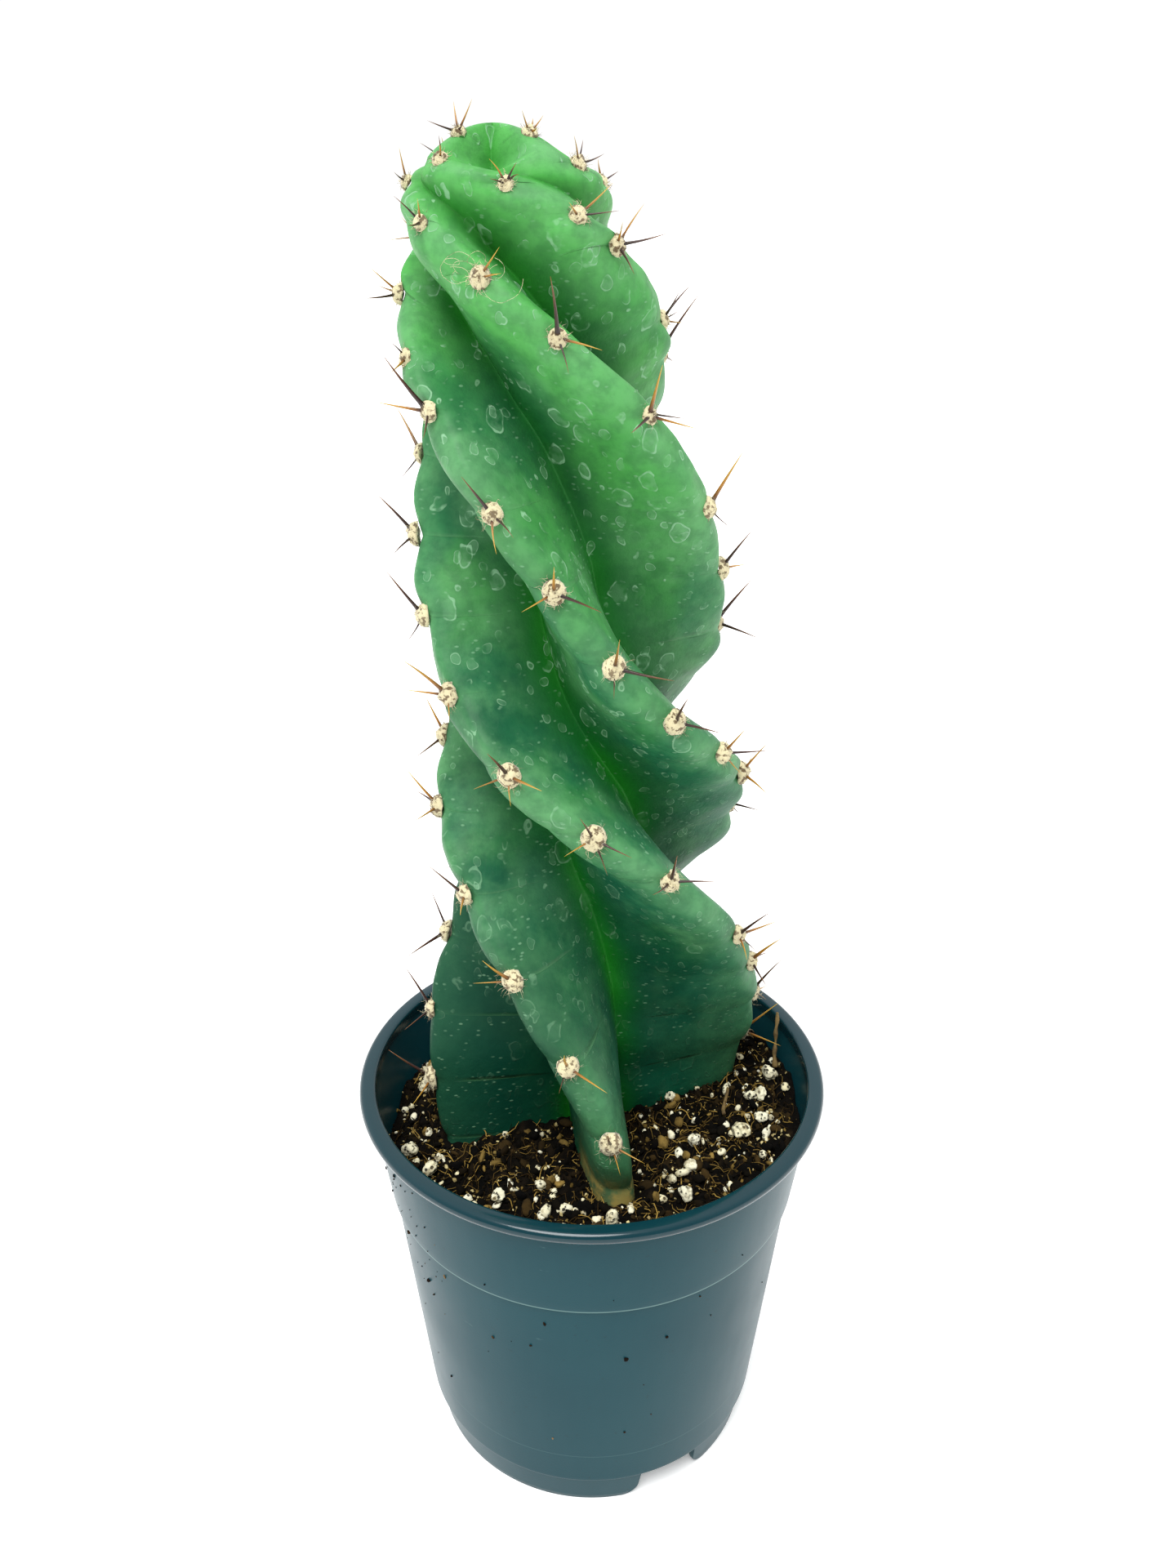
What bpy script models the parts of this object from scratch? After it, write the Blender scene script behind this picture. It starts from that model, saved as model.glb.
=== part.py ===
"""A twisted four-ribbed columnar cactus growing in a round nursery pot.

Units are metres, +Z is up and -Y is the front. The origin is on the pot's axis, at the
surface that the pot stands on. Heights along the stem are shares of its length above the
soil: 0 is at soil level, 1 is the growing tip, and shares below 0 are the buried foot.
"""
import math
import random

import bmesh
import bpy
import numpy as np
from mathutils import Matrix, Vector

# Pot
RIM_RADIUS = 0.057
RIM_HEIGHT = 0.1042
RIM_BEAD_HEIGHT = 0.003
RIM_LIP_WIDTH = 0.004
BAND_INSET = 0.0026
BAND_TAPER = 0.131
BAND_HEIGHT = 0.0259
STEP_LEDGE = 0.0007
WALL_TAPER = 0.100
WALL = 0.0012
FOOT_HEIGHT = 0.0102
FOOT_LEDGE = 0.0006
FOOT_TAPER = 0.180
FOOT_WALL = 0.0016
POT_SIDES = 48
NOTCH_COUNT = 3
NOTCH_WIDTH = 0.016
NOTCH_HEADROOM = 0.0006
NOTCH_CORNER = 0.0045
NOTCH_BEARING = math.radians(-62.5)
DRAIN_COUNT = 6
DRAIN_RADIUS = 0.004
DRAIN_CIRCLE = 0.026

# Potting soil
SOIL_DROP = 0.0153
SOIL_TILT_X = 0.085
SOIL_TILT_Y = 0.030
SOIL_ROUGHNESS = 0.0007
SOIL_RINGS = 11
TOUCH_GAP = 0.0003

# Stem
STEM_LENGTH = 0.224
STEM_FOOT_DEPTH = 0.027
FOOT_ROUNDING = 0.014
TIP_ROUNDING = 0.0255
STEM_LEAN_X = (-0.0003, -0.002, -0.018)
STEM_LEAN_Y = (0.005, 0.007, 0.0025)
TURN_SHARES = (-0.06, 0.147, 0.343, 0.539, 0.70, 0.80, 0.87, 0.92, 0.955, 0.975)
TURN_DEGREES = (290, 271, 213, 118, 72, 38, 0, -38, -78, -135)
RIB_OFFSETS = (-4, -2, -1, 4)
RIB_SWAYS = (0, 0, -15, 0)
SWAY_SHARE = 0.30
SWAY_SPREAD = 0.07
CREST_SHARES = (-0.06, 0.08, 0.245, 0.44, 0.637, 0.76, 0.83, 0.90)
CREST_RADII = (0.035, 0.0405, 0.036, 0.034, 0.0315, 0.0297, 0.0263, 0.0228)
RIB_HALF_WIDTH = 0.0055
RIB_ROUNDING = 4.0
STEM_RING_PITCH = 0.005
FLANK_STEPS = (0.0, 0.20, 0.38, 0.54, 0.74)
VALLEY_SHARE = 0.64
CUP_DEPTH = 0.013
CUP_SHARES = (0.66, 0.92)

# Areoles: runs of (first distance, spacing, count) along each rib's crest from the soil
AREOLE_RUNS = (
    ((0.021, 0.0218, 5), (0.127, 0.0185, 7)),
    ((0.013, 0.0180, 2), (0.050, 0.0196, 9), (0.2330, 0.0225, 2)),
    ((0.017, 0.0206, 6), (0.140, 0.0188, 5), (0.2370, 0.0115, 1)),
    ((0.014, 0.0175, 4), (0.099, 0.0213, 4), (0.181, 0.0175, 5)),
)
PAD_RADIUS = 0.0023
PAD_TOP_RADIUS = 0.0015
PAD_HEIGHT = 0.0015
PAD_SIDES = 8
SPINE_BASE_INSET = 0.0004
SPINES = ((98, 42, 0.0122, 1.0), (-14, 30, 0.0115, 0.9), (-78, 34, 0.0095, 0.55), (190, 32, 0.0100, 0.6))
SPINE_SPREAD = 20
DOWN_SPINE_CLEARANCE = 0.019

# Loose pieces on the soil: (x, y, length, turn in degrees)
PERLITE = ((0.0365, -0.012, 0.0062, 130), (0.0215, -0.031, 0.0050, 20),
           (-0.0385, -0.019, 0.0050, 75), (-0.0220, -0.029, 0.0046, 160))
STRAW_RADIUS = 0.0007
STANDING_STRAW = ((0.0470, 0.011), (0.0475, 0.017), 0.0135)
LYING_STRAW = ((0.0345, 0.005), (0.0325, -0.006), 0.0)

SOIL_LEVEL = RIM_HEIGHT - SOIL_DROP
RIB_COUNT = len(RIB_OFFSETS)


def clear_scene():
    """Removes every object the file opened with."""
    for thing in list(bpy.data.objects):
        bpy.data.objects.remove(thing, do_unlink=True)


def finish_material(name, colour, roughness):
    """Makes a Principled material of one colour and roughness."""
    material = bpy.data.materials.new(name)
    material.use_nodes = True
    shader = material.node_tree.nodes["Principled BSDF"]
    shader.inputs["Base Color"].default_value = (*colour, 1.0)
    shader.inputs["Roughness"].default_value = roughness
    return material


def add_object(name, shape, material, location=(0, 0, 0), smooth_angle=40):
    """Turns a bmesh into a named, smooth-shaded object with one material."""
    mesh = bpy.data.meshes.new(name)
    bmesh.ops.recalc_face_normals(shape, faces=shape.faces)
    shape.to_mesh(mesh)
    shape.free()
    mesh.materials.append(material)
    mesh.shade_smooth()
    mesh.set_sharp_from_angle(angle=math.radians(smooth_angle))
    thing = bpy.data.objects.new(name, mesh)
    thing.location = location
    bpy.context.scene.collection.objects.link(thing)
    return thing


def add_cut(target, cutter):
    """Cuts a hidden cutter out of an object with a Boolean modifier."""
    cutter.hide_render = True
    cutter.display_type = "WIRE"
    cut = target.modifiers.new(cutter.name, "BOOLEAN")
    cut.operation = "DIFFERENCE"
    cut.object = cutter
    cut.solver = "EXACT"


def smooth_curve(stations, values, at):
    """Reads a smooth cubic curve through the given points at one or more stations."""
    stations = np.asarray(stations, float)
    values = np.asarray(values, float)
    slopes = np.gradient(values, stations)
    at = np.clip(at, stations[0], stations[-1])
    left = np.clip(np.searchsorted(stations, at) - 1, 0, len(stations) - 2)
    span = stations[left + 1] - stations[left]
    t = (at - stations[left]) / span
    start = (2 * t**3 - 3 * t**2 + 1) * values[left]
    start_slope = (t**3 - 2 * t**2 + t) * span * slopes[left]
    end = (3 * t**2 - 2 * t**3) * values[left + 1]
    end_slope = (t**3 - t**2) * span * slopes[left + 1]
    return start + start_slope + end + end_slope


def loft(rings, bottom, top):
    """Skins a stack of closed rings and closes it with a point at each end."""
    shape = bmesh.new()
    rows = [[shape.verts.new(point) for point in ring] for ring in rings]
    for lower, upper in zip(rows, rows[1:]):
        for i in range(len(lower)):
            j = (i + 1) % len(lower)
            shape.faces.new((lower[i], lower[j], upper[j], upper[i]))
    for row, point in ((rows[0], bottom), (rows[-1], top)):
        tip = shape.verts.new(point)
        for i in range(len(row)):
            shape.faces.new((row[i], row[(i + 1) % len(row)], tip))
    return shape


# ---------------------------------------------------------------- pot


def band_radius(height):
    """Outside radius of the band under the rim."""
    band_top = RIM_HEIGHT - RIM_BEAD_HEIGHT
    return RIM_RADIUS - BAND_INSET - BAND_TAPER * (band_top - height)


def wall_radius(height):
    """Outside radius of the tapered wall between the band and the foot."""
    step = step_height()
    return band_radius(step) - STEP_LEDGE - WALL_TAPER * (step - height)


def foot_radius(height):
    """Outside radius of the foot ring."""
    return wall_radius(FOOT_HEIGHT) - FOOT_LEDGE - FOOT_TAPER * (FOOT_HEIGHT - height)


def step_height():
    """Height of the small ledge where the band ends."""
    return RIM_HEIGHT - RIM_BEAD_HEIGHT - BAND_HEIGHT


def inner_radius(height):
    """Inside radius of the pot above its floor."""
    if height > step_height():
        return band_radius(height) - WALL
    return wall_radius(height) - WALL


def pot_profile():
    """Outline of the pot's wall, floor and rolled rim as (radius, height) points."""
    step = step_height()
    band_top = RIM_HEIGHT - RIM_BEAD_HEIGHT
    bead = RIM_BEAD_HEIGHT / 2
    lip_inside = RIM_RADIUS - RIM_LIP_WIDTH
    outside = [(foot_radius(0), 0.0), (foot_radius(FOOT_HEIGHT), FOOT_HEIGHT - FOOT_LEDGE),
               (wall_radius(FOOT_HEIGHT), FOOT_HEIGHT), (wall_radius(step), step),
               (band_radius(step), step + STEP_LEDGE / 2), (band_radius(band_top), band_top)]
    for angle in (-60, -30, 0, 30, 60):
        turn = math.radians(angle)
        rim_middle = RIM_RADIUS - bead
        outside.append((rim_middle + bead * math.cos(turn), band_top + bead + bead * math.sin(turn)))
    inside = [(lip_inside + WALL / 2, RIM_HEIGHT), (lip_inside, RIM_HEIGHT - WALL / 2),
              (inner_radius(band_top), band_top), (inner_radius(step + WALL), step + WALL),
              (inner_radius(step), step), (inner_radius(floor_top()), floor_top()),
              (0.0, floor_top()), (0.0, FOOT_HEIGHT),
              (foot_radius(FOOT_HEIGHT) - FOOT_WALL, FOOT_HEIGHT),
              (foot_radius(0) - FOOT_WALL, 0.0)]
    return outside + inside


def floor_top():
    """Height of the raised floor's upper face."""
    return FOOT_HEIGHT + WALL


def notch_cutter():
    """A drain notch's prism: wide rounded feet below a narrower opening."""
    half = NOTCH_WIDTH / 2
    top = FOOT_HEIGHT - FOOT_LEDGE - NOTCH_HEADROOM
    side = [(half + NOTCH_CORNER, -0.001), (half + NOTCH_CORNER, 0.0)]
    for angle in (30, 60, 90):
        turn = math.radians(angle)
        side.append((half + NOTCH_CORNER * (1 - math.sin(turn)), NOTCH_CORNER * (1 - math.cos(turn))))
    side += [(half, top - 0.001), (half - 0.001, top)]
    outline = side + [(-x, z) for x, z in reversed(side)]
    shape = bmesh.new()
    near = foot_radius(0) - FOOT_WALL - 0.004
    face = shape.faces.new([shape.verts.new((near, x, z)) for x, z in outline])
    pushed = bmesh.ops.extrude_face_region(shape, geom=[face])
    corners = [item for item in pushed["geom"] if isinstance(item, bmesh.types.BMVert)]
    bmesh.ops.translate(shape, verts=corners, vec=(0.012, 0, 0))
    return shape


def build_pot():
    """Spins the pot's outline, then cuts the drain notches and the drain holes."""
    plastic = finish_material("pot_plastic", (0.045, 0.125, 0.150), 0.42)
    shape = bmesh.new()
    corners = [shape.verts.new((radius, 0, height)) for radius, height in pot_profile()]
    outline = [shape.edges.new(pair) for pair in zip(corners, corners[1:] + corners[:1])]
    bmesh.ops.spin(shape, geom=corners + outline, cent=(0, 0, 0), axis=(0, 0, 1),
                   angle=2 * math.pi, steps=POT_SIDES, use_merge=True)
    bmesh.ops.remove_doubles(shape, verts=shape.verts, dist=0.00001)
    pot = add_object("pot", shape, plastic)
    for index in range(NOTCH_COUNT):
        cutter = add_object(f"notch_cutter_{index}", notch_cutter(), plastic)
        cutter.rotation_euler.z = NOTCH_BEARING + index * 2 * math.pi / NOTCH_COUNT
        add_cut(pot, cutter)
    for index in range(DRAIN_COUNT):
        hole = bmesh.new()
        bmesh.ops.create_cone(hole, cap_ends=True, segments=12, radius1=DRAIN_RADIUS,
                              radius2=DRAIN_RADIUS, depth=0.006)
        turn = (index + 0.5) * 2 * math.pi / DRAIN_COUNT
        place = (DRAIN_CIRCLE * math.cos(turn), DRAIN_CIRCLE * math.sin(turn), FOOT_HEIGHT)
        add_cut(pot, add_object(f"drain_cutter_{index}", hole, plastic, place))
    return pot


# ---------------------------------------------------------------- stem


def share_height(share):
    """Height above the ground at a share of the stem's length."""
    return SOIL_LEVEL + STEM_LENGTH * share


def stem_axis(share):
    """Middle of the stem at a share of its length."""
    x = np.polyval(np.polyfit((0, 0.5, 1), STEM_LEAN_X, 2), share)
    y = np.polyval(np.polyfit((0, 0.5, 1), STEM_LEAN_Y, 2), share)
    return np.array((x, y, share_height(share)))


def crest_bearing(rib, share):
    """Direction of one rib's crest, in radians."""
    turn = smooth_curve(TURN_SHARES, TURN_DEGREES, share)
    sway = RIB_SWAYS[rib] * np.exp(-(((share - SWAY_SHARE) / SWAY_SPREAD) ** 2))
    return np.radians(turn - rib * 360 / RIB_COUNT + RIB_OFFSETS[rib] + sway)


def end_rounding(share):
    """Shrinks the ribs to nothing over the rounded tip and the rounded foot."""
    past_tip = (share * STEM_LENGTH - (STEM_LENGTH - TIP_ROUNDING)) / TIP_ROUNDING
    past_foot = (FOOT_ROUNDING - STEM_FOOT_DEPTH - share * STEM_LENGTH) / FOOT_ROUNDING
    past = np.clip(np.maximum(past_tip, past_foot), 0, 1)
    return np.sqrt(1 - past**2)


def crest_radius(share):
    """Distance of the crests from the stem's middle."""
    return smooth_curve(CREST_SHARES, CREST_RADII, share) * end_rounding(share)


def rib_half_width(share):
    """Half of a rib's level width: its true thickness, drawn out where the ribs lean."""
    step = 0.01
    turned = crest_bearing(0, share + step) - crest_bearing(0, share - step)
    lean = crest_radius(share) * turned / (2 * step * STEM_LENGTH)
    return RIB_HALF_WIDTH * np.sqrt(1 + lean**2) * end_rounding(share)


def cup_depth(share):
    """How far the valleys sink below the crests, where the ribs stand up round the tip."""
    part = np.clip((share - CUP_SHARES[0]) / (CUP_SHARES[1] - CUP_SHARES[0]), 0, 1)
    return CUP_DEPTH * part**2 * (3 - 2 * part) * end_rounding(share)


def flank_steps():
    """Steps from one crest to the next, each with its part of the way from crest to valley."""
    lower = [(part * VALLEY_SHARE, part) for part in FLANK_STEPS]
    upper = [(1 - part * (1 - VALLEY_SHARE), part) for part in FLANK_STEPS[:0:-1]]
    return lower + [(VALLEY_SHARE, 1.0)] + upper


def crest_point(rib, share, outside=0.0):
    """A point on one rib's crest, or straight out from it."""
    turn = crest_bearing(rib, share)
    reach = crest_radius(share) + outside
    return stem_axis(share) + reach * np.array((math.cos(turn), math.sin(turn), 0))


def stem_ring(share, grow):
    """One outline of the stem: a rounded fin for each rib, with creased valleys."""
    crest = crest_radius(share) + grow
    half_width = rib_half_width(share) + grow
    middle = stem_axis(share)
    points = []
    for rib in range(RIB_COUNT):
        start = crest_bearing(rib, share)
        end = crest_bearing((rib + 1) % RIB_COUNT, share)
        gap = (start - end) % (2 * math.pi)
        for step, part in flank_steps():
            flank = crest * math.sin(part * math.pi / RIB_COUNT) / half_width
            reach = crest * (1 + flank**RIB_ROUNDING) ** (-1 / RIB_ROUNDING)
            turn = start - step * gap
            sink = cup_depth(share) * (1 - reach / crest)
            points.append(middle + np.array((reach * math.cos(turn), reach * math.sin(turn), -sink)))
    return points


def stem_shape(grow=0.0):
    """The whole stem, or the same shape grown outwards by a clearance."""
    foot = -STEM_FOOT_DEPTH / STEM_LENGTH
    foot_dome = foot + FOOT_ROUNDING / STEM_LENGTH * np.array((0.06, 0.25, 0.55))
    ring_count = round((STEM_LENGTH + STEM_FOOT_DEPTH - FOOT_ROUNDING - TIP_ROUNDING) / STEM_RING_PITCH)
    body_start = foot + FOOT_ROUNDING / STEM_LENGTH
    body_end = 1 - TIP_ROUNDING / STEM_LENGTH
    body = np.linspace(body_start, body_end, ring_count)
    tip_dome = 1 - TIP_ROUNDING / STEM_LENGTH * np.array((0.84, 0.68, 0.53, 0.39, 0.27, 0.16, 0.07, 0.02))
    shares = np.concatenate((foot_dome, body, tip_dome))
    rings = [stem_ring(share, grow) for share in shares]
    bottom = stem_axis(foot) - np.array((0, 0, grow))
    top = stem_axis(1.0) + np.array((0, 0, grow))
    return loft(rings, bottom, top)


def build_stem():
    """The stem, with its buried foot, as one growth."""
    skin = finish_material("stem_skin", (0.09, 0.30, 0.13), 0.5)
    return add_object("cactus_stem", stem_shape(), skin, smooth_angle=50)


# ---------------------------------------------------------------- soil


def soil_height(x, y):
    """Height of the soil's uneven top."""
    ripple = math.sin(310 * x + 1.3) * math.cos(260 * y - 0.4) + math.sin(170 * x - 330 * y + 2.1)
    return SOIL_LEVEL + SOIL_TILT_X * x + SOIL_TILT_Y * y + SOIL_ROUGHNESS * ripple


def soil_side_ring(height):
    """Level outline of the soil plug where it lies against the pot."""
    reach = inner_radius(height) - TOUCH_GAP
    turns = [i * 2 * math.pi / POT_SIDES for i in range(POT_SIDES)]
    return [(reach * math.cos(turn), reach * math.sin(turn), height) for turn in turns]


def soil_top_ring(share):
    """Outline on the soil's top at a share of the way out to the pot's wall."""
    points = []
    for i in range(POT_SIDES):
        turn = i * 2 * math.pi / POT_SIDES
        edge = inner_radius(SOIL_LEVEL) - TOUCH_GAP
        height = soil_height(edge * math.cos(turn), edge * math.sin(turn))
        reach = share * (inner_radius(height) - TOUCH_GAP)
        x = reach * math.cos(turn)
        y = reach * math.sin(turn)
        points.append((x, y, height if share == 1 else soil_height(x, y)))
    return points


def build_soil():
    """The plug of potting mix, with a socket for the stem's foot."""
    peat = finish_material("potting_mix", (0.055, 0.035, 0.022), 0.95)
    step = step_height()
    bottom = floor_top() + TOUCH_GAP
    rings = [soil_side_ring(bottom), soil_side_ring(step - TOUCH_GAP),
             soil_side_ring(step + WALL + TOUCH_GAP)]
    rings += [soil_top_ring(share) for share in np.linspace(1, 1 / SOIL_RINGS, SOIL_RINGS)]
    soil = add_object("potting_soil", loft(rings, (0, 0, bottom), (0, 0, soil_height(0, 0))), peat)
    add_cut(soil, add_object("stem_socket_cutter", stem_shape(TOUCH_GAP), peat))
    return soil


# ---------------------------------------------------------------- areoles


def crest_lengths(rib):
    """Shares of the stem's length, with the distance along the crest from the soil."""
    shares = np.linspace(0, 1 - TIP_ROUNDING / STEM_LENGTH, 400)
    points = np.array([crest_point(rib, share) for share in shares])
    pieces = np.linalg.norm(np.diff(points, axis=0), axis=1)
    return shares, np.concatenate(((0,), np.cumsum(pieces)))


def areole_frame(rib, share):
    """Axes of an areole: z straight out of the crest, y as near to upwards as it can be."""
    before = Vector(crest_point(rib, share - 0.004))
    after = Vector(crest_point(rib, share + 0.004))
    along = (after - before).normalized()
    turn = crest_bearing(rib, share)
    out = Vector((math.cos(turn), math.sin(turn), 0))
    out = (out - out.dot(along) * along).normalized()
    up = (Vector((0, 0, 1)) - out.z * out).normalized()
    side = up.cross(out)
    axes = Matrix((side, up, out)).transposed().to_4x4()
    place = Vector(crest_point(rib, share)) + out * TOUCH_GAP
    return Matrix.Translation(place) @ axes


def draw_spine(shape, direction, length):
    """Draws one spine out of the pad's face that looks its way."""
    faces = [face for face in shape.faces if len(face.verts) in (4, PAD_SIDES) and not face.tag]
    root = max(faces, key=lambda face: face.normal.dot(direction))
    middle = root.calc_center_median()
    bmesh.ops.inset_individual(shape, faces=[root], thickness=SPINE_BASE_INSET)
    for face in shape.faces:
        face.tag = face.tag or face is root or any(edge in root.edges for edge in face.edges)
    tip = bmesh.ops.poke(shape, faces=[root])["verts"][0]
    tip.co = middle + direction * length


def areole_shape(chance, clear_below):
    """A woolly pad and its spines as one solid."""
    shape = bmesh.new()
    bmesh.ops.create_cone(shape, cap_ends=True, segments=PAD_SIDES, radius1=PAD_RADIUS,
                          radius2=PAD_TOP_RADIUS, depth=PAD_HEIGHT,
                          matrix=Matrix.Translation((0, 0, PAD_HEIGHT / 2)))
    for bearing, rise, length, frequency in SPINES:
        turn = math.radians(bearing + chance.uniform(-SPINE_SPREAD, SPINE_SPREAD))
        lift = math.radians(rise + chance.uniform(-SPINE_SPREAD, SPINE_SPREAD) / 2)
        level = math.cos(lift)
        direction = Vector((level * math.cos(turn), level * math.sin(turn), math.sin(lift)))
        missing = chance.random() > frequency
        if missing or bearing < -45 and not clear_below:
            continue
        shape.faces.ensure_lookup_table()
        shape.normal_update()
        draw_spine(shape, direction, length * chance.uniform(0.75, 1.12))
    return shape


def build_areoles():
    """Every spined areole below the young tip, set along the four crests."""
    wool = finish_material("areole_wool", (0.62, 0.52, 0.36), 0.9)
    chance = random.Random(11)
    for rib, runs in enumerate(AREOLE_RUNS):
        shares, lengths = crest_lengths(rib)
        places = [first + spacing * i for first, spacing, count in runs for i in range(count)]
        for number, place in enumerate(places, start=1):
            share = float(np.interp(place, lengths, shares))
            shape = areole_shape(chance, place > DOWN_SPINE_CLEARANCE)
            areole = add_object(f"areole_{'abcd'[rib]}{number:02d}", shape, wool)
            areole.matrix_world = areole_frame(rib, share)


# ---------------------------------------------------------------- loose pieces


def build_perlite():
    """The largest perlite granules, lying on the soil."""
    mineral = finish_material("perlite", (0.80, 0.76, 0.66), 0.95)
    chance = random.Random(5)
    for number, (x, y, length, turn) in enumerate(PERLITE, start=1):
        shape = bmesh.new()
        bmesh.ops.create_icosphere(shape, subdivisions=2, radius=0.5)
        for corner in shape.verts:
            corner.co *= chance.uniform(0.86, 1.05)
        bmesh.ops.scale(shape, verts=shape.verts, vec=(length, length * 0.78, length * 0.7))
        spin = Matrix.Rotation(math.radians(turn), 4, "Z")
        bmesh.ops.transform(shape, verts=shape.verts, matrix=spin)
        lift = max(soil_height(x + v.co.x, y + v.co.y) - v.co.z for v in shape.verts if v.co.z < 0)
        place = (x, y, lift + 2 * TOUCH_GAP)
        add_object(f"perlite_{number}", shape, mineral, place, smooth_angle=60)


def build_straw(name, start, end, rise, material):
    """A bent dry straw, swept along three points above the soil."""
    above = STRAW_RADIUS + 3 * TOUCH_GAP
    route = bpy.data.curves.new(name, "CURVE")
    route.dimensions = "3D"
    line = route.splines.new("POLY")
    line.points.add(2)
    for index, point in enumerate(line.points):
        part = index / 2
        x = start[0] + (end[0] - start[0]) * part + 0.0008 * (index == 1)
        y = start[1] + (end[1] - start[1]) * part
        point.co = (x, y, soil_height(x, y) + above + rise * part, 1)
    route.bevel_depth = STRAW_RADIUS
    route.bevel_resolution = 1
    route.use_fill_caps = True
    route.materials.append(material)
    bpy.context.scene.collection.objects.link(bpy.data.objects.new(name, route))


def build_straws():
    """Two bits of dry straw: one standing by the wall and one lying on the soil."""
    dry = finish_material("dry_straw", (0.30, 0.19, 0.08), 0.8)
    build_straw("straw_standing", *STANDING_STRAW, dry)
    build_straw("straw_lying", *LYING_STRAW, dry)


def main():
    """Builds every sub-part."""
    clear_scene()
    build_pot()
    build_soil()
    build_stem()
    build_areoles()
    build_perlite()
    build_straws()


main()
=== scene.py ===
"""Spiral cactus in a nursery pot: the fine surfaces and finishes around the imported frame.

Units are metres, +Z is up, -Y is the front. A share is a part of the stem's length above
the soil: 0 at soil level, 1 at the growing tip, negative in the buried foot.
"""
import logging
import math
from dataclasses import dataclass, field
from enum import Enum
from typing import Any

import bmesh
import bpy
import numpy as np
from mathutils import Euler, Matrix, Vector


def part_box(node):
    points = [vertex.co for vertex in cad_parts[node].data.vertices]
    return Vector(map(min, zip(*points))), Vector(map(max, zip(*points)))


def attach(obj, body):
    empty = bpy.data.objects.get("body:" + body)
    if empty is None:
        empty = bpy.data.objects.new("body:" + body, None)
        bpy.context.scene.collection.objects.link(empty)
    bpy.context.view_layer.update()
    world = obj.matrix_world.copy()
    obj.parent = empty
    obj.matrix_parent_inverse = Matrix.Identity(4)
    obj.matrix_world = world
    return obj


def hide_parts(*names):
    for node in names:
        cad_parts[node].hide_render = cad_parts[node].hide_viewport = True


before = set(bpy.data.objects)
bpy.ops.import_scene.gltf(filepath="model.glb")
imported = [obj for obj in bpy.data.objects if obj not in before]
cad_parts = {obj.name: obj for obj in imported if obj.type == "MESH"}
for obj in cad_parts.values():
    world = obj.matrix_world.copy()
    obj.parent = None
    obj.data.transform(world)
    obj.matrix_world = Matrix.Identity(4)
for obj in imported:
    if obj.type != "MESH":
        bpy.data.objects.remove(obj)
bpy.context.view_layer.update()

Array = np.ndarray
MM = 0.001
TIP_SEED = 13
LOG = logging.getLogger("spiral_cactus")


class Slot(Enum):
    """The record's material slots."""

    POT = "pot_plastic"
    SOIL = "potting_mix"
    STEM = "stem_skin"
    AREOLE = "areole_wool_and_spines"
    PERLITE = "perlite"
    STRAW = "dry_straw"


class Attribute(Enum):
    """Values that a mesh carries at its points for its finish to read."""

    VALLEY = "valley"
    SHARE = "share"
    PHASE = "phase"
    TINT = "tint"
    ALONG = "along"


# ------------------------------------------------------------------ shapes as whole arrays


def smooth_curve(stations: Array, values: Array, at: Array) -> Array:
    """Reads a smooth cubic curve through points.

    Each span is the cubic that meets both its ends with the slope found there from the
    neighbouring points.

    Args:
        stations: Places of the points, rising.
        values: The curve's value at each station.
        at: Places to read, held within the first and last station.

    Returns:
        The curve's values, in the shape of at.
    """
    stations = np.asarray(stations, float)
    values = np.asarray(values, float)
    slopes = np.gradient(values, stations)
    at = np.clip(at, stations[0], stations[-1])
    left = np.clip(np.searchsorted(stations, at) - 1, 0, len(stations) - 2)
    span = stations[left + 1] - stations[left]
    t = (at - stations[left]) / span
    start = (2 * t**3 - 3 * t**2 + 1) * values[left]
    start_slope = (t**3 - 2 * t**2 + t) * span * slopes[left]
    end = (3 * t**2 - 2 * t**3) * values[left + 1]
    end_slope = (t**3 - t**2) * span * slopes[left + 1]
    return start + start_slope + end + end_slope


def waves(points: Array, length: float, count: int, seed: int) -> Array:
    """Smooth unevenness: the mean of sine waves in random directions.

    Args:
        points: Places, with x, y and z last.
        length: Typical wavelength.
        count: How many waves are added.
        seed: Seed of the directions and phases.

    Returns:
        Values between about -1 and 1, one for each place.
    """
    rng = np.random.default_rng(seed)
    ways = rng.normal(size=(count, 3))
    rates = 2 * np.pi / length * rng.uniform(0.6, 1.5, count)
    ways *= (rates / np.linalg.norm(ways, axis=1))[:, None]
    return np.sin(points @ ways.T + rng.uniform(0, 2 * np.pi, count)).sum(-1) / math.sqrt(count)


def unit(vectors: Array) -> Array:
    """Scales vectors to a length of 1."""
    return vectors / np.maximum(np.linalg.norm(vectors, axis=-1, keepdims=True), 1e-12)


def grid_quads(rows: int, columns: int) -> Array:
    """Corner numbers of the quads of a grid whose columns close on themselves.

    Args:
        rows: Number of rows of points.
        columns: Number of points in each row.

    Returns:
        An array of four corner numbers for each quad.
    """
    row, column = np.meshgrid(np.arange(rows - 1), np.arange(columns), indexing="ij")
    here = row * columns + column
    beside = row * columns + (column + 1) % columns
    return np.stack([here, beside, beside + columns, here + columns], -1).reshape(-1, 4)


def pole_triangles(columns: int, row_start: int, pole: int, upwards: bool) -> Array:
    """Triangles that close one end of a round grid with a point.

    Args:
        columns: Number of points in the end row.
        row_start: Number of the end row's first point.
        pole: Number of the closing point.
        upwards: Whether the pole lies past the last row rather than before the first.

    Returns:
        An array of three corner numbers for each triangle.
    """
    here = row_start + np.arange(columns)
    beside = row_start + (np.arange(columns) + 1) % columns
    tip = np.full(columns, pole)
    return np.stack([here, beside, tip] if upwards else [beside, here, tip], -1)


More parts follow.
